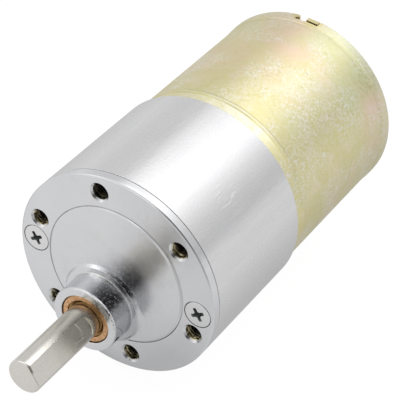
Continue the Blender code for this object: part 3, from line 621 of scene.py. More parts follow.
def chromate_edges(g, colour, film):
    """Rubbed places, the rear rim and tab, and the rings near the can's two ends, with a painted
    highlight on top of the front bevel and ridge and painted shade towards the rear.
    """
    x, y, z = g.axes()
    rub = g.noise(scale=900, rough=0.65, stretch=(1, 0.12, 1), turn=(0.0, 0.0, -0.2))
    rub = g.span(rub, over=(0.60, 0.68))
    rubbed = film_spot(g, degrees=6, y=30, radius=10.0, soft=0.8)
    rubbed = g.most(rubbed, g.times(film_spot(g, degrees=30, y=30, radius=7.0), 0.7))
    colour = g.coat(colour, (0.74, 0.74, 0.75), g.times(rub, rubbed), amount=0.8)

    rim = g.span(y, over=(0.0578, 0.0594))
    rim_film = g.span(film, over=(0.40, 0.58), to=(0.10, 0.35))
    colour = g.coat(colour, (0.72, 0.71, 0.66), rim, amount=rim_film)
    gold = g.most(
        g.spot(surface_point(17.6, degrees=104.1, y=59.4), radius=2.2, soft=0.3),
        g.spot(surface_point(18.0, degrees=113.6, y=59.5), radius=1.5, soft=0.5),
    )
    colour = g.coat(colour, (0.64, 0.55, 0.26), gold, amount=0.85)

    # painted highlight: the front bevel and ridge are paler on top, in patches
    top_patchiness = g.noise(scale=500, rough=0.65, shift=(0.3, 0.9, 0.6))
    top_patchiness = g.span(top_patchiness, over=(0.35, 0.65), to=(0.45, 1.0))
    turned_by = g.bearing(x, z)
    high = g.times(
        g.span(turned_by, over=(62, 80), to=(0.05, 1.0)),
        g.span(turned_by, over=(94, 108), to=(1.0, 0.45)),
    )
    bevel = g.times(g.rest(g.span(y, over=(0.02885, 0.02905))), g.times(high, 0.75))
    ridge = g.band(y, rise=(0.02925, 0.02938), fall=(0.02972, 0.02958))
    ridge = g.times(ridge, g.times(high, 0.60))
    colour = g.coat(colour, (0.79, 0.78, 0.69), g.most(bevel, ridge), amount=top_patchiness)

    # dark lines beside the front ridge and in the rear groove
    lines = g.band(y, rise=(0.02893, 0.02905), fall=(0.02929, 0.02915))
    lines = g.most(lines, g.band(y, rise=(0.02968, 0.02980), fall=(0.03010, 0.02990)))
    rear_line = g.band(y, rise=(0.05722, 0.05735), fall=(0.05762, 0.05748))
    lines = g.most(lines, g.times(rear_line, 0.7))
    lines = g.times(lines, g.span(turned_by, over=(50, 76), to=(0.25, 1.0)))
    colour = g.coat(colour, (0.42, 0.40, 0.20), lines, amount=g.times(top_patchiness, 0.50))
    # painted shade: the can darkens towards its rear end
    rear = g.span(y, over=(0.046, 0.060), to=(0.0, 0.20))
    return g.coat(colour, (0.50, 0.50, 0.37), rear)


def zinc_yellow():
    """Yellow chromate over zinc."""
    g = Graph("zinc_yellow")
    film = g.noise(scale=190, detail=4, rough=0.65, distortion=0.9, shift=(0.11, 0.37, 0.2))
    flake = g.noise(scale=2300, detail=5, rough=0.72, distortion=1.2, stretch=(1, 0.8, 1))
    colour, pale = chromate_crystals(g, chromate_film(g, film), flake)
    colour = chromate_edges(g, colour, film)
    rough = g.span(film, over=(0.3, 0.7), to=(0.35, 0.42))
    rough = g.plus(rough, g.times(pale, 0.12))
    ripple = g.bump(g.noise(scale=600), strength=0.26, depth=0.03)
    normal = g.bump(flake, strength=0.40, depth=0.014, under=ripple)
    return g.done(colour, rough, normal)


def shaft_steel():
    """Nickel-grey ground shaft: fine turning marks and crossed scratches."""
    g = Graph("shaft_steel")
    y = g.axes()[1]
    rings = g.noise(scale=900, detail=2, rough=0.6, stretch=(0.04, 2.2, 0.04))
    cloud = g.noise(scale=350, rough=0.6)
    mottle = g.noise(scale=2400, detail=4, rough=0.7)
    scratches = []
    for turn, edges in (((0.35, 0.1, 0.5), (0.62, 0.68)), ((-0.5, 0.3, -0.6), (0.64, 0.69))):
        scratch = g.noise(scale=1700, detail=2, rough=0.6, stretch=(1, 0.07, 1), turn=turn)
        scratches.append(g.span(scratch, over=edges))
    near_bush = g.span(y, over=(-0.0125, -0.0095))
    rub = g.times(g.most(*scratches), g.span(near_bush, over=(0.0, 1.0), to=(0.45, 1.0)))

    colour = g.mix(cloud, (0.625, 0.605, 0.565), (0.69, 0.672, 0.632))
    colour = g.coat(colour, (0.50, 0.48, 0.44), g.span(mottle, over=(0.5, 0.68)), amount=0.30)
    colour = g.coat(colour, (0.80, 0.79, 0.76), rub, amount=0.5)
    # painted shade: the shaft turns darker and warmer towards the bush
    towards_bush = g.span(y, over=(-0.0180, -0.0105), to=(0.0, 0.75))
    colour = g.coat(colour, (0.56, 0.53, 0.455), towards_bush)
    # painted shade in the crease where the flat's bevelled tip meets the round
    corner = g.spot((0.55, -21.0, -4.40), radius=1.0, soft=0.6)
    tip_edge = g.band(y, rise=(-0.02119, -0.02116), fall=(-0.02078, -0.02092))
    colour = g.coat(colour, (0.16, 0.14, 0.115), g.times(corner, tip_edge), amount=0.85)

    rough = g.span(cloud, over=(0.3, 0.7), to=(0.21, 0.28))
    rough = g.plus(rough, g.times(rub, 0.10))
    grain = g.noise(scale=3200, rough=0.65)
    grain_strength = g.span(y, over=(-0.02112, -0.0209), to=(0.12, 0.34))
    normal = g.bump(rings, strength=0.25, depth=0.006)
    normal = g.bump(grain, strength=grain_strength, depth=0.008, under=normal)
    normal = g.bump(rub, strength=0.6, depth=0.012, under=normal)
    return g.done(colour, rough, normal)


def bronze():
    """Porous, oily bronze."""
    g = Graph("bronze")
    y = g.axes()[1]
    grain = g.noise(scale=3800, rough=0.7)
    pores = g.pores(scale=4200, size=0.20)
    oil = g.span(g.noise(scale=420, detail=2), over=(0.45, 0.65))
    speck = g.noise(scale=2100, detail=4, rough=0.75, shift=(0.3, 0.3, 0.8))
    speck = g.span(speck, over=(0.36, 0.64))
    colour = g.mix(speck, (0.50, 0.265, 0.115), (0.74, 0.47, 0.27))
    colour = g.coat(colour, (0.20, 0.10, 0.05), pores, amount=0.45)
    colour = g.coat(colour, (0.42, 0.22, 0.11), oil, amount=0.18)
    inside = g.span(y, over=(-0.00480, -0.00440))
    colour = g.coat(colour, (0.56, 0.35, 0.13), inside, amount=0.8)
    # painted shade: a dark line just behind the bush's front face
    brink = g.band(y, rise=(-0.00489, -0.00484), fall=(-0.00455, -0.00462))
    colour = g.coat(colour, (0.10, 0.05, 0.02), brink, amount=0.75)
    rough = g.span(grain, over=(0.3, 0.7), to=(0.34, 0.50))
    base = g.bump(grain, strength=0.5, depth=0.010)
    return g.done(colour, rough, g.bump(pores, strength=-0.6, depth=0.02, under=base))


def screw_zinc():
    g = Graph("screw_zinc")
    cloud = g.noise(scale=600, rough=0.6)
    colour = g.mix(cloud, (0.66, 0.67, 0.665), (0.74, 0.745, 0.735))
    rough = g.span(cloud, over=(0.3, 0.7), to=(0.30, 0.40))
    ripple = g.bump(g.noise(scale=1400, detail=2), strength=0.3, depth=0.012)
    fine = g.noise(scale=3600, detail=2, rough=0.6)
    return g.done(colour, rough, g.bump(fine, strength=0.35, depth=0.006, under=ripple))


def plain_metal(slot, one, two, rough, scale=700, ring=True):
    """Metal clouded between two colours, with marks around Y (ring) or along it."""
    g = Graph(slot)
    cloud = g.noise(scale=scale, rough=0.6)
    stretch = (0.05, 2.0, 0.05) if ring else (1, 0.12, 1)
    marks = g.noise(scale=1100, detail=2, rough=0.6, stretch=stretch)
    roughness = g.plus(g.span(cloud, over=(0.3, 0.7), to=rough), g.times(marks, 0.04))
    base = g.bump(marks, strength=0.3, depth=0.008)
    grain = g.noise(scale=3000, detail=2)
    normal = g.bump(grain, strength=0.3, depth=0.006, under=base)
    return g.done(g.mix(cloud, one, two), roughness, normal)


def plain_matter(slot, one, two, rough, scale=900, depth=0.02, **more):
    """A non-metal clouded between two colours."""
    g = Graph(slot)
    colour = g.mix(g.noise(scale=scale, detail=4, rough=0.65), one, two)
    roughness = g.span(g.noise(scale=scale * 2.5), over=(0.3, 0.7), to=rough)
    normal = g.bump(g.noise(scale=scale * 3, rough=0.6), strength=0.5, depth=depth)
    return g.done(colour, roughness, normal, metallic=0.0, **more)


def enamelled_copper():
    """Enamelled wire: the turns lie side by side, so colour and bump run in fine bands."""
    g = Graph("enamelled_copper")
    turns = g.noise(scale=2600, detail=1, rough=0.4, stretch=(1.0, 0.08, 1.0))
    colour = g.mix(turns, (0.42, 0.13, 0.05), (0.68, 0.30, 0.13))
    rough = g.span(g.noise(scale=500, rough=0.6), over=(0.3, 0.7), to=(0.25, 0.38))
    normal = g.bump(turns, strength=0.9, depth=0.08)
    return g.done(colour, rough, normal, metallic=0.85, Coat_Weight=0.5)


def tapped_wall():
    """The cover's tapped holes: bare steel with a straw tint in blotches, near black between them,
    and painted shade in the depth and over one hole.
    """
    g = Graph("tapped_wall")
    y = g.axes()[1]
    cloud = g.noise(scale=900, rough=0.6)
    straw_blotches = g.span(cloud, over=(0.40, 0.60))
    colour = g.mix(straw_blotches, (0.05, 0.043, 0.027), (0.56, 0.49, 0.31))
    # painted shade: one hole on the upper -X side is darker
    dark_hole = g.spot((-7.75, 1.0, 13.4), radius=3.0, soft=0.3)
    colour = g.coat(colour, (0.05, 0.044, 0.03), dark_hole)
    # painted shade deeper in the holes
    colour = g.coat(colour, (0.012, 0.010, 0.007), g.span(y, over=(0.0008, 0.0021)))
    rough = g.span(cloud, over=(0.3, 0.7), to=(0.14, 0.22))
    normal = g.bump(g.noise(scale=2600, detail=2), strength=0.2, depth=0.006)
    return g.done(colour, rough, normal)


def driver_recess():
    """The screws' cross recesses, coloured dark as painted shade."""
    g = Graph("driver_recess")
    colour = g.mix(g.noise(scale=900, rough=0.6), (0.13, 0.15, 0.145), (0.24, 0.26, 0.25))
    normal = g.bump(g.noise(scale=2600, detail=2), strength=0.4, depth=0.01)
    return g.done(colour, rough=0.5, normal=normal, metallic=0.7)


def all_materials():
    """Every material by its slot's name. The plain ones list two colours and a roughness range."""
    made = (
        plated_steel(),
        cast_housing(),
        zinc_yellow(),
        shaft_steel(),
        bronze(),
        screw_zinc(),
        plain_metal("gear_steel", (0.40, 0.40, 0.41), (0.50, 0.50, 0.51), rough=(0.26, 0.38)),
        plain_metal("gear_brass", (0.68, 0.48, 0.20), (0.78, 0.60, 0.30), rough=(0.24, 0.36)),
        plain_metal(
            "lamination", (0.26, 0.26, 0.28), (0.38, 0.38, 0.40), rough=(0.38, 0.52), scale=900
        ),
        enamelled_copper(),
        plain_metal(
            "commutator_copper", (0.66, 0.34, 0.20), (0.80, 0.48, 0.32), rough=(0.24, 0.36)
        ),
        plain_matter("ferrite", (0.045, 0.045, 0.05), (0.10, 0.10, 0.105), rough=(0.60, 0.80)),
        plain_matter("carbon", (0.03, 0.03, 0.03), (0.07, 0.07, 0.068), rough=(0.50, 0.70)),
        plain_matter("phenolic", (0.13, 0.055, 0.025), (0.24, 0.12, 0.055), rough=(0.48, 0.66)),
        plain_metal(
            "terminal_tin", (0.72, 0.70, 0.64), (0.82, 0.80, 0.75), rough=(0.26, 0.38), ring=False
        ),
        plain_matter(
            "nylon", (0.78, 0.77, 0.70), (0.88, 0.87, 0.81), rough=(0.42, 0.56),
            scale=600, depth=0.01, Subsurface_Weight=0.1,
        ),
        tapped_wall(),
        driver_recess(),
    )
    return {material.name.removeprefix("vis_"): material for material in made}


# ======================================================================== front cover
# All profiles below are (radius, y[, fillet[, steps]]).
COVER_FACE = 0.2  # y of the cover's outer face, around the plateau at y 0
COVER_PROFILE = [
    (0, 0), (5.0, 0), (10.0, 0), (12.0, 0), (12.38, 0, 0.20, 5),
    # groove around the plateau
    (12.70, 0.19, 0.06, 3), (12.74, 0.26, 0.02, 2), (12.80, 0.26, 0.02, 2),
    (12.84, COVER_FACE, 0.02, 2), (13.2, COVER_FACE), (15.5, COVER_FACE), (17.8, COVER_FACE),
    # outer edge, then the spigot inside the housing
    (18.28, COVER_FACE, 0.05), (BODY_R, 0.38, 0.05), (BODY_R, 1.0), (BODY_R, 1.84, 0.06),
    (17.6, 1.84), (17.0, 1.84), (17.0, 3.6, 0.15), (12.0, 3.6), (0, 3.6),
]
BOSS_PROFILE = [
    (0, -5.2), (5.0, -5.2), (5.80, -5.2, 0.03, 3), (5.90, -5.11, 0.03, 3), (6.0, -4.86, 0.04, 3),
    (6.0, -4.6), (6.0, -3.4), (6.0, -2.0), (6.0, -0.60, 0.18, 5),
    # sloping collar at the foot
    (6.93, -0.53, 0.09, 5), (7.36, -0.01, 0.08, 4), (7.56, 0.08), (7.56, 1.2), (0, 1.2),
]
BORE_PROFILE = [
    (0, -8), (4.66, -8), (4.66, -5.22), (4.52, -5.08), (4.47, -4.7), (4.47, 6), (0, 6),
]
SEAT_PROFILE = [(0, -1), (2.45, -1), (2.45, 0.40), (1.45, 1.40), (1.45, 5), (0, 5)]
MOUTH_R = 1.76  # countersunk mouth of a tapped hole
TAP_STEP, TAP_STEPS = 0.062, 65  # rows down a tapped hole


def mouth_and_thread(radius, y, angle):
    """Radius of a tapped hole: a cone at the mouth, then a thread that deepens."""
    if y <= COVER_FACE:
        return MOUTH_R
    depth = min(1.0, max(0.0, (y - 0.62) / 0.4))
    cone = MOUTH_R - 1.05 * (y - COVER_FACE)
    return max(cone, thread(y, angle, root=1.24, crest=1.26 + 0.24 * depth))


def in_tapped_hole(centre, normal):
    if centre.y < 0.50 or centre.y > 3.58:
        return False
    return any(math.hypot(centre.x - x, centre.z - z) < 1.56 for x, z in TAPPED_HOLES)


def front_cover():
    cover = lathe("visual_front_cover", AXIS, COVER_PROFILE, 176)
    carve(cover, "UNION", lathe("cover_boss", OUTPUT, BOSS_PROFILE, 120, turn=0.011))
    # the threaded rows' radius, 1.0, is replaced by mouth_and_thread
    rows = [(0, -0.6), (MOUTH_R, -0.6), (MOUTH_R, COVER_FACE - 0.001)]
    rows += [(1.0, COVER_FACE + TAP_STEP * i) for i in range(1, TAP_STEPS + 1)]
    rows += [(0, COVER_FACE + TAP_STEP * TAP_STEPS)]
    cuts = [lathe("cover_bore", OUTPUT, BORE_PROFILE, 96, turn=0.023)]
    cuts += [lathe("tapped", at, rows, 36, mouth_and_thread, turn=0.031) for at in TAPPED_HOLES]
    cuts += rods(GEAR_PINS, PIN_HOLE_R, low=2.4, high=6, segments=32, turn=0.02)
    seats = [lathe("seat", at, SEAT_PROFILE, 64, turn=0.027) for at in SCREWS]
    carve(cover, "DIFFERENCE", joined("cut_a", cuts), joined("cut_b", seats))
    extra = (MATERIALS["tapped_wall"], in_tapped_hole)
    fit(cover, "plated_steel", "front_cover", extra=extra)


# ======================================================================== cover screws
SCREW_PROFILE = [
    # countersunk head
    (0, 0.17), (1.9, 0.17), (2.31, 0.19, 0.07, 4), (2.33, 0.40, 0.05, 2), (1.25, 1.46, 0.2, 3),
    # shank and tip
    (1.25, 2.19), *[(1.25, 2.2 + 0.0625 * i) for i in range(1, 84)],
    (1.14, 7.5), (0.85, 8.0), (0, 8.0),
]
CROSS_TURN = 34  # degrees from the screw's own direction


def cross(spot, turn, y, arm, half, notch):
    """A cross outline with rounded arm ends and cut inner corners, in the plane y."""
    quarter = (
        (arm - half * 0.5, -half),
        (arm - half * 0.1, -half * 0.72),
        (arm, 0.0),
        (arm - half * 0.1, half * 0.72),
        (arm - half * 0.5, half),
        (notch + half, half + 0.01),
        (half + 0.01, notch + half),
    )
    out = []
    for q in range(4):
        c, s = math.cos(math.radians(turn + 90 * q)), math.sin(math.radians(turn + 90 * q))
        out += [(spot[0] + px * c - pz * s, y, spot[1] + px * s + pz * c) for px, pz in quarter]
    return out


def shank(radius, y, angle):
    if y < 2.2 or y > 7.4 or radius < 1.0:
        return radius
    return thread(y, angle, root=1.14, crest=1.38)


def cover_screw(k):
    spot = SCREWS[k]
    screw = lathe(f"visual_cover_screw_{k + 1}", spot, SCREW_PROFILE, 48, shank)
    turn = SCREW_ANGLE + 180 * k + CROSS_TURN
    bottom = cross(spot, turn, y=1.25, arm=0.55, half=0.17, notch=0.12)
    top = cross(spot, turn, y=-0.2, arm=1.52, half=0.36, notch=0.26)
    carve(screw, "DIFFERENCE", loft("driver", bottom, top))

    def inside_cross(centre, normal):
        away = math.hypot(centre.x - spot[0], centre.z - spot[1])
        return 0.215 < centre.y < 1.2 and away < 1.6 and (abs(normal.y) < 0.75 or away < 0.9)

    extra = (MATERIALS["driver_recess"], inside_cross)
    fit(screw, "screw_zinc", f"cover_screw_{k + 1}", extra=extra)


# ======================================================================== output bush and shaft
BUSH_PROFILE = [
    (3.05, -4.20), (3.08, -4.36, 0.04), (3.40, -4.58, 0.03), (3.46, -4.62, 0.02),
    (3.47, -4.87, 0.02), (3.53, -4.90, 0.03), (4.0, -4.91), (4.36, -4.90, 0.06),
    (4.38, -4.78, 0.03), (4.35, -4.2), (4.35, 3.7, 0.1), (4.2, 3.8), (3.2, 3.8), (3.05, 3.65),
]
SHAFT_PROFILE = [
    (0, -21.2), (1.5, -21.2), (2.3, -21.2), (2.99, -21.16, 0.46, 8),
    (SHAFT_R, -20.4), (SHAFT_R, -18.0), (SHAFT_R, -14.0), (SHAFT_R, -10.0), (SHAFT_R, -6.0),
    # ring groove, then the thin rear end
    (SHAFT_R, 9.1), (2.6, 9.1), (2.6, 9.8), (SHAFT_R, 9.8), (SHAFT_R, 10.2, 0.08),
    (1.5, 10.3), (1.5, 25.6), (1.3, 25.8), (0, 25.8),
]
FLAT_ANGLE = math.radians(49.5)  # the way the shaft's flat faces
FLAT_RISE = 0.9  # height of the curved run-out at the flat's end


def output_bushing():
    bush = lathe("visual_output_bushing", OUTPUT, BUSH_PROFILE, 112)
    fit(bush, "bronze", "output_bushing")


def milled(name, level, start, end, bow, rise_length):
    """A cutter over the flat, level mm from the axis, up to a bowed line at y end.

    start lists its first points as (height over the level, y). Past the end it rises out of the
    shaft within rise_length.
    """
    across = [-4.2 + 8.4 * i / 24 for i in range(25)]
    run_out = [(0.0, 0.0)]
    run_out += [(rise_length * t, FLAT_RISE * t**1.6) for t in (0.15, 0.35, 0.55, 0.75, 1.0)]
    c, s = math.cos(FLAT_ANGLE), math.sin(FLAT_ANGLE)
    verts, faces = [], []
    for aside in across:
        lip = end + bow * (1 - (aside / 1.9) ** 2)
        row = [(level + up, y) for up, y in start]
        row += [(level + up, lip + along) for along, up in run_out]
        row += [(level + 4.0, lip + rise_length), (level + 4.0, start[0][1])]
        for out, y in row:
            verts.append((OUTPUT[0] + out * c - aside * s, y, OUTPUT[1] + out * s + aside * c))
    n = len(row)
    for i in range(len(across) - 1):
        for j in range(n):
            k = (j + 1) % n
            faces.append([i * n + j, i * n + k, (i + 1) * n + k, (i + 1) * n + j])
    faces.append(list(range(n)))
    faces.append([(len(across) - 1) * n + j for j in reversed(range(n))])
    return object_from(name, verts, faces)


def output_shaft():
    shaft = lathe("visual_output_shaft", OUTPUT, SHAFT_PROFILE, 128)
    # the main cut starts with a bevel at the shaft's tip
    tip = [(-0.30, -23.0), (-0.30, -21.24), (-0.14, -21.14), (-0.04, -20.98), (0.0, -20.76)]
    carve(
        shaft,
        "DIFFERENCE",
        milled("flat_main", level=2.35, start=tip, end=-9.45, bow=0.55, rise_length=0.60),
        milled("flat_end", level=2.41, start=[(0.0, -12.0)], end=-7.30, bow=0.80, rise_length=0.18),
    )
    fit(shaft, "shaft_steel", "output_shaft", body="output", sharp=24)


# ======================================================================== gearbox housing
FLOOR_FRONT, FLOOR_BACK = 24.45, 26.45  # y of the housing floor's two faces
HOUSING_BORE_R = 17.3
HOUSING_PROFILE = [
    (HOUSING_BORE_R, 1.93), (17.9, 1.93), (BODY_R, 1.93, 0.05), (BODY_R, 6.0), (BODY_R, 14.0),
    (BODY_R, 22.0), (BODY_R, FLOOR_BACK, 0.18, 4), (17.9, FLOOR_BACK), (14.0, FLOOR_BACK),
    (3.5, FLOOR_BACK), (3.5, FLOOR_FRONT), (12.0, FLOOR_FRONT),
    (HOUSING_BORE_R, FLOOR_FRONT, 0.3), (HOUSING_BORE_R, 12.0),
]


def gearbox_housing():
    housing = lathe("visual_gearbox_housing", AXIS, HOUSING_PROFILE, 176)
    posts = rods(SCREWS, 2.1, low=3.9, high=12.0, segments=40, turn=0.02)
    carve(housing, "UNION", joined("posts", posts))
    holes = rods(SCREWS, 1.4, low=1.0, high=10.5, segments=32)
    holes += rods([OUTPUT], 2.72, low=20, high=30, segments=48)
    holes += rods(GEAR_PINS, PIN_HOLE_R, low=20, high=30, segments=28)
    holes += rods(MOTOR_SCREWS, 1.6, low=20, high=30, segments=32)
    carve(housing, "DIFFERENCE", joined("floor_cut", holes))
    fit(housing, "cast_housing", "gearbox_housing")


# ======================================================================== motor can
CAN_PROFILE = [
    # front hub and face
    (2.68, 25.1), (3.3, 25.1, 0.1), (3.3, 26.6), (10.0, 26.6), (16.5, 26.6, 0.3, 4),
    # front bevel and ridge
    (17.10, 27.00, 0.25, 4), (17.78, 29.00, 0.06, 3), (17.94, 29.34, 0.07, 4),
    (17.93, 29.62, 0.07, 4), (17.85, 29.84, 0.06, 3),
    (CAN_R, 31.0), (CAN_R, 36.0), (CAN_R, 44.0), (CAN_R, 52.0), (CAN_R, 56.4),
    # rear groove and rim
    (CAN_R, 57.10, 0.10, 3), (17.80, 57.26, 0.08, 3), (17.82, 57.44, 0.08, 3),
    (17.93, 57.62, 0.10, 3), (17.93, 57.86, 0.08, 3), (17.90, 58.0, 0.08, 3),
    (17.97, 58.2, 0.10, 3), (18.0, 59.0), (18.02, 59.9, 0.2, 4), (17.80, 60.1, 0.15, 3),
    (17.3, 60.1),
    # inside
    (CAN_BORE_R, 60.1, 0.08), (CAN_BORE_R, 58.0), (CAN_BORE_R, 50.0), (CAN_BORE_R, 28.2),
    (2.68, 28.2),
]


def arc_points(centre, radius, angles):
    radians = [math.radians(a) for a in angles]
    return [(centre[0] + radius * math.cos(a), centre[1] + radius * math.sin(a)) for a in radians]


def rim_notch(middle, width, floor):
    """A cutter for a rim notch: one rounded corner, and one undercut beneath a small lip.

    Its outline is (distance along the rim, y).
    """
    half = width / 2
    outline = [(half, 62.0), (half, floor + 0.25)]
    outline += arc_points((half - 0.25, floor + 0.25), 0.25, (-20, -45, -70, -90))
    outline += [(-half + 0.1, floor - 0.02)]
    outline += arc_points((-half - 0.28, floor + 0.32), 0.34, range(270, 80, -30))
    outline += [
        (-half + 0.02, floor + 0.78), (-half + 0.06, floor + 1.05), (-half - 0.12, floor + 1.28),
        (-half - 0.5, floor + 1.42), (-half - 0.5, 62.0),
    ]
    c, s = math.cos(math.radians(middle)), math.sin(math.radians(middle))
    inner, outer = ([(r * c + t * s, y, r * s - t * c) for t, y in outline] for r in (15.5, 19.5))
    return loft("notch", inner, outer)


def motor_can():
    can = lathe("visual_motor_can", AXIS, CAN_PROFILE, 176)
    cutters = rods(MOTOR_SCREWS, 1.5, low=25.8, high=30, segments=32)
    cutters += [rim_notch(middle=106.3 + 180 * k, width=3.95, floor=58.42) for k in range(2)]
    carve(can, "DIFFERENCE", joined("can_cut", cutters))
    fit(can, "zinc_yellow", "motor_can")


# ======================================================================== rear end
PLATE_BACK = 59.8  # y of the end plate's rear face
PLATE_PROFILE = [
    (3.12, 58.8), (10.0, 58.8), (16.45, 58.8, 0.1), (16.45, PLATE_BACK, 0.15, 4),
    (15.6, PLATE_BACK), (12.0, PLATE_BACK), (8.0, PLATE_BACK), (4.75, PLATE_BACK, 0.35, 5),
    # hub around the bearing
    (4.4, 60.25), (4.4, 61.3, 0.3, 5), (3.4, 61.3, 0.06), (3.12, 61.1),
]
BEARING_PROFILE = [(1.55, 57.9), (3.0, 57.9), (3.0, 61.1, 0.1), (2.0, 61.1, 0.05), (1.55, 60.7)]
ROTOR_SHAFT_PROFILE = [
    (0, 20.7), (1.3, 20.7), (ROTOR_SHAFT_R, 20.9, 0.05), (ROTOR_SHAFT_R, 60.8, 0.12, 4),
    (1.2, 61.0, 0.1), (0.45, 61.0), (0, 60.7),
]
# y, z of the terminal's blade
BLADE_OUTLINE = [
    (59.0, 7.2), (59.0, 10.0), (63.3, 10.0), (63.65, 9.9), (63.95, 9.55),
    (64.0, 9.3), (64.0, 7.9), (63.95, 7.65), (63.65, 7.3), (63.3, 7.2),
]
EYE_Y, EYE_Z, EYE_R = 62.6, 8.6, 0.6


def motor_end_plate():
    plate = lathe("visual_motor_end_plate", AXIS, PLATE_PROFILE, 160)
    tab = (14.6, 58.88, -1.13), (18.0, 59.78, 1.13)
    slot = (6.1, 57.5, 6.7), (7.9, 61, 10.5)
    tabs = [box("tab", *tab, turn=104.1 + 180 * k) for k in range(2)]
    carve(plate, "UNION", joined("tabs", tabs))
    cutters = [box("slot", *slot, turn=180 * k) for k in range(2)]
    cutters += rods(pair(10.6, -40), 1.9, low=57.5, high=61, segments=48)
    carve(plate, "DIFFERENCE", joined("plate_cut", cutters))
    fit(plate, "zinc_yellow", "motor_end_plate", bevel=0.08)


def motor_rear_bearing():
    bearing = lathe("visual_motor_rear_bearing", AXIS, BEARING_PROFILE, 72)
    fit(bearing, "bronze", "motor_rear_bearing")


def motor_shaft():
    shaft = lathe("visual_motor_shaft", AXIS, ROTOR_SHAFT_PROFILE, 64)
    fit(shaft, "shaft_steel", "motor_shaft", body="rotor")


def terminal(k):
    """A shoulder with a blade and a round eye; the second one is turned half around."""
    side = 1 if k == 0 else -1
    made = box(f"visual_terminal_{k + 1}", (6.70, 53.0, 7.1), (7.30, 60.3, 10.1), 180 * k)
    blade = [[(x * side, y, z * side) for y, z in BLADE_OUTLINE] for x in (6.75, 7.25)]
    carve(made, "UNION", loft("blade", *blade))
    turns = [2 * math.pi * i / 32 for i in range(32)]
    eye = [
        [
            (x * side, EYE_Y + EYE_R * math.sin(a), (EYE_Z + EYE_R * math.cos(a)) * side)
            for a in turns
        ]
        for x in (4.0, 10.0)
    ]
    carve(made, "DIFFERENCE", loft("eye", *eye))
    fit(made, "terminal_tin", f"terminal_{k + 1}", bevel=0.05)


def paint_cad_nodes():
    """The CAD nodes that stay visible get their slots' materials."""
    slots = {part["node"]: part["material_slot"] for part in frame["record"]["subparts"]}
    for name, node in frame["nodes"].items():
        if node.hide_render:
            continue
        node.data.materials.clear()
        node.data.materials.append(MATERIALS[slots[name]])


# ======================================================================== floor
WHITE = (1, 1, 1, 1)
FLOOR_GAP = 0.0001  # metres between the object and the floor
# metres from the YZ plane, brightness
GLOW_BESIDE = (
    (0.0, 0.52), (0.018, 0.55), (0.033, 0.60), (0.043, 0.65),
    (0.055, 0.70), (0.085, 0.76), (0.145, 0.85), (0.30, 0.88),
)


def floor_glow(g):
    """How bright the floor shines on the object: dimmer beneath it and in its shade."""
    place = g.add("ShaderNodeNewGeometry").outputs["Position"]
    x, y, _ = g.add("ShaderNodeSeparateXYZ", {0: place}).outputs
    beside = g.table(g.math("ABSOLUTE", x), 0.0, 0.32, GLOW_BESIDE)
    ahead = g.span(x, over=(-0.006, 0.014), to=(0.87, 0.76))
    # a darker spot on the floor near the output shaft
    shade = g.distance(g.math("SUBTRACT", x, 0.014), g.math("ADD", y, 0.005))
    ahead = g.times(ahead, g.span(shade, over=(0.003, 0.016), to=(0.82, 1.0)))
    glow = g.blend(g.span(y, over=(-0.004, 0.002)), ahead, beside)
    # less the diffuse part's light, over the glow's share of the mix
    return g.math("DIVIDE", g.math("SUBTRACT", glow, 0.10), 0.87)


def floor_material():
    material = bpy.data.materials.new("studio_floor")
    material.use_nodes = True
    g = Nodes(material.node_tree)
    g.tree.nodes.clear()
    diffuse = g.add("ShaderNodeBsdfDiffuse", {"Color": (0.80, 0.80, 0.80, 1)}).outputs[0]
    seen = g.add("ShaderNodeEmission", {"Color": WHITE, "Strength": 1.03}).outputs[0]
    other = g.add("ShaderNodeEmission", {"Color": WHITE, "Strength": floor_glow(g)}).outputs[0]
    g.output(
        "ShaderNodeOutputMaterial",
        other=g.mix_shader(0.87, diffuse, other),
        seen=g.mix_shader(0.93, diffuse, seen),
    )
    return material


def studio_floor():
    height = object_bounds()[0].z - FLOOR_GAP
    mesh = bpy.data.meshes.new("studio_floor")
    bm = bmesh.new()
    bmesh.ops.create_circle(bm, cap_ends=True, segments=96, radius=6.0)
    bm.to_mesh(mesh)
    bm.free()
    floor = link_object("studio_floor", mesh)
    floor.location = (0, 0.02, height)
    floor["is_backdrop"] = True
    mesh.materials.append(floor_material())


# ======================================================================== studio
# Brightness around the motor's axis: degrees from +X (positive above), brightness.
# Behind: the white tent with its bright top, and a dark gap on the +X side.
BEHIND = (
    (-180, 0.82), (-90, 0.70), (0, 0.84), (10, 0.90), (20, 0.97), (26, 0.97), (29, 0.56),
    (36, 0.68), (45, 0.76), (56, 0.84), (66, 1.04), (76, 1.29), (84, 1.52), (94, 1.58),
    (104, 1.44), (112, 1.25), (120, 1.15), (132, 1.08), (138, 1.00), (141, 0.79), (156, 0.80),
    (168, 0.82),
)
# Level with the object: the bright top reaches further towards +X.
LEVEL = (
    (-180, 0.85), (-90, 0.80), (0, 0.85), (30, 0.88), (44, 1.02), (58, 1.40), (72, 2.05),
    (86, 2.10), (98, 1.60), (112, 1.20), (140, 1.25), (152, 0.95),
)
# In front: the dark camera and the shade around it.
FRONT = (
    (-180, 1.05), (-150, 0.95), (-60, 0.55), (0, 0.50), (20, 0.50), (30, 0.45), (37, 0.16),
    (43, 0.04), (66, 0.03), (78, 0.04), (88, 0.09), (104, 0.21), (115, 0.42), (125, 0.60),
    (135, 0.80), (145, 0.97), (160, 1.08),
)
# Small lights: rise and fall in degrees, rise and fall in the direction's y, brightness.
GLINTS = (
    ((116, 126), (172, 162), (-0.60, -0.48), (0.0, -0.14), 0.75),  # upper -X side
    ((84, 94), (140, 124), (0.30, 0.45), (0.67, 0.58), 1.1),  # the bright top, behind
    ((92, 100), (150, 138), (-0.97, -0.93), (-0.76, -0.82), 0.9),  # nearly straight ahead
)


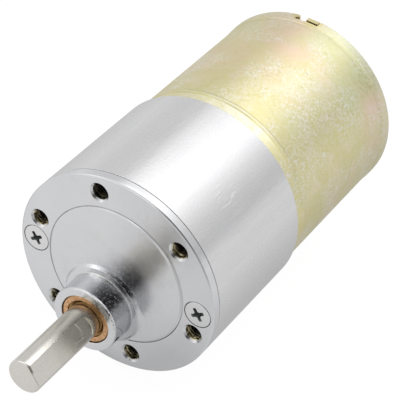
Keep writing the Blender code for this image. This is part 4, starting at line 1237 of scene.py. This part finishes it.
def studio_world():
    """A white tent with a bright top and a dark camera; the camera itself sees plain white."""
    world = bpy.data.worlds.new("studio")
    bpy.context.scene.world = world
    world.use_nodes = True
    g = Nodes(world.node_tree)
    g.tree.nodes.clear()
    direction = g.add("ShaderNodeTexCoord").outputs["Generated"]
    x, y, z = g.add("ShaderNodeSeparateXYZ", {0: direction}).outputs
    around = g.bearing(x, z)
    behind = g.table(around, -180, 180, BEHIND)
    level = g.table(around, -180, 180, LEVEL, top=3.0)
    front = g.table(around, -180, 180, FRONT)
    front = g.blend(g.span(y, over=(-0.95, -0.82)), 0.80, front)
    light = g.blend(g.span(y, over=(-0.42, -0.12)), front, level)
    light = g.blend(g.span(y, over=(0.10, 0.42)), light, behind)
    for rise, fall, y_rise, y_fall, strength in GLINTS:
        glint = g.times(g.band(around, rise, fall), g.band(y, y_rise, y_fall), strength)
        light = g.plus(light, glint)
    studio = g.add("ShaderNodeBackground", {"Color": WHITE, "Strength": light}).outputs[0]
    backdrop = g.add("ShaderNodeBackground", {"Color": WHITE, "Strength": 1.0}).outputs[0]
    g.output("ShaderNodeOutputWorld", other=studio, seen=backdrop)


def softbox(name, location, size, watts):
    """A square area light aimed at the object, unseen by the camera and in reflections."""
    target = (0, 0.02, 0)
    data = bpy.data.lights.new(name, "AREA")
    data.shape = "SQUARE"
    data.size = size
    data.energy = watts
    made = link_object(name, data)
    made.location = location
    made.rotation_mode = "QUATERNION"
    aim = Vector(target) - Vector(location)
    made.rotation_quaternion = aim.to_track_quat("-Z", "Y")
    made.visible_glossy = False
    made.visible_camera = False


def studio_camera():
    """A long lens in front of and above the object, on its +X side."""
    data = bpy.data.cameras.new("camera")
    data.lens = 150.9
    data.sensor_width = 36.0
    data.clip_start = 0.01
    data.clip_end = 50.0
    camera = link_object("camera", data)
    # columns: right, up, backwards, place
    camera.matrix_world = Matrix(
        (
            (0.789835, -0.583587, 0.188637, 0.053845),
            (0.533589, 0.502206, -0.680494, -0.167683),
            (0.302394, 0.638133, 0.708056, 0.200107),
            (0, 0, 0, 1),
        )
    )
    scene = bpy.context.scene
    scene.camera = camera
    scene.view_settings.view_transform = "Standard"
    scene.view_settings.look = "None"


# ======================================================================== build
MATERIALS = all_materials()
front_cover()
for k in range(2):
    cover_screw(k)
output_bushing()
output_shaft()
gearbox_housing()
motor_can()
motor_end_plate()
motor_rear_bearing()
motor_shaft()
for k in range(2):
    terminal(k)
paint_cad_nodes()
studio_floor()
studio_world()
softbox("softbox_top", location=(-0.10, 0.30, 0.70), size=0.8, watts=2.2)
softbox("softbox_left", location=(-0.60, -0.30, 0.45), size=0.6, watts=1.0)
studio_camera()
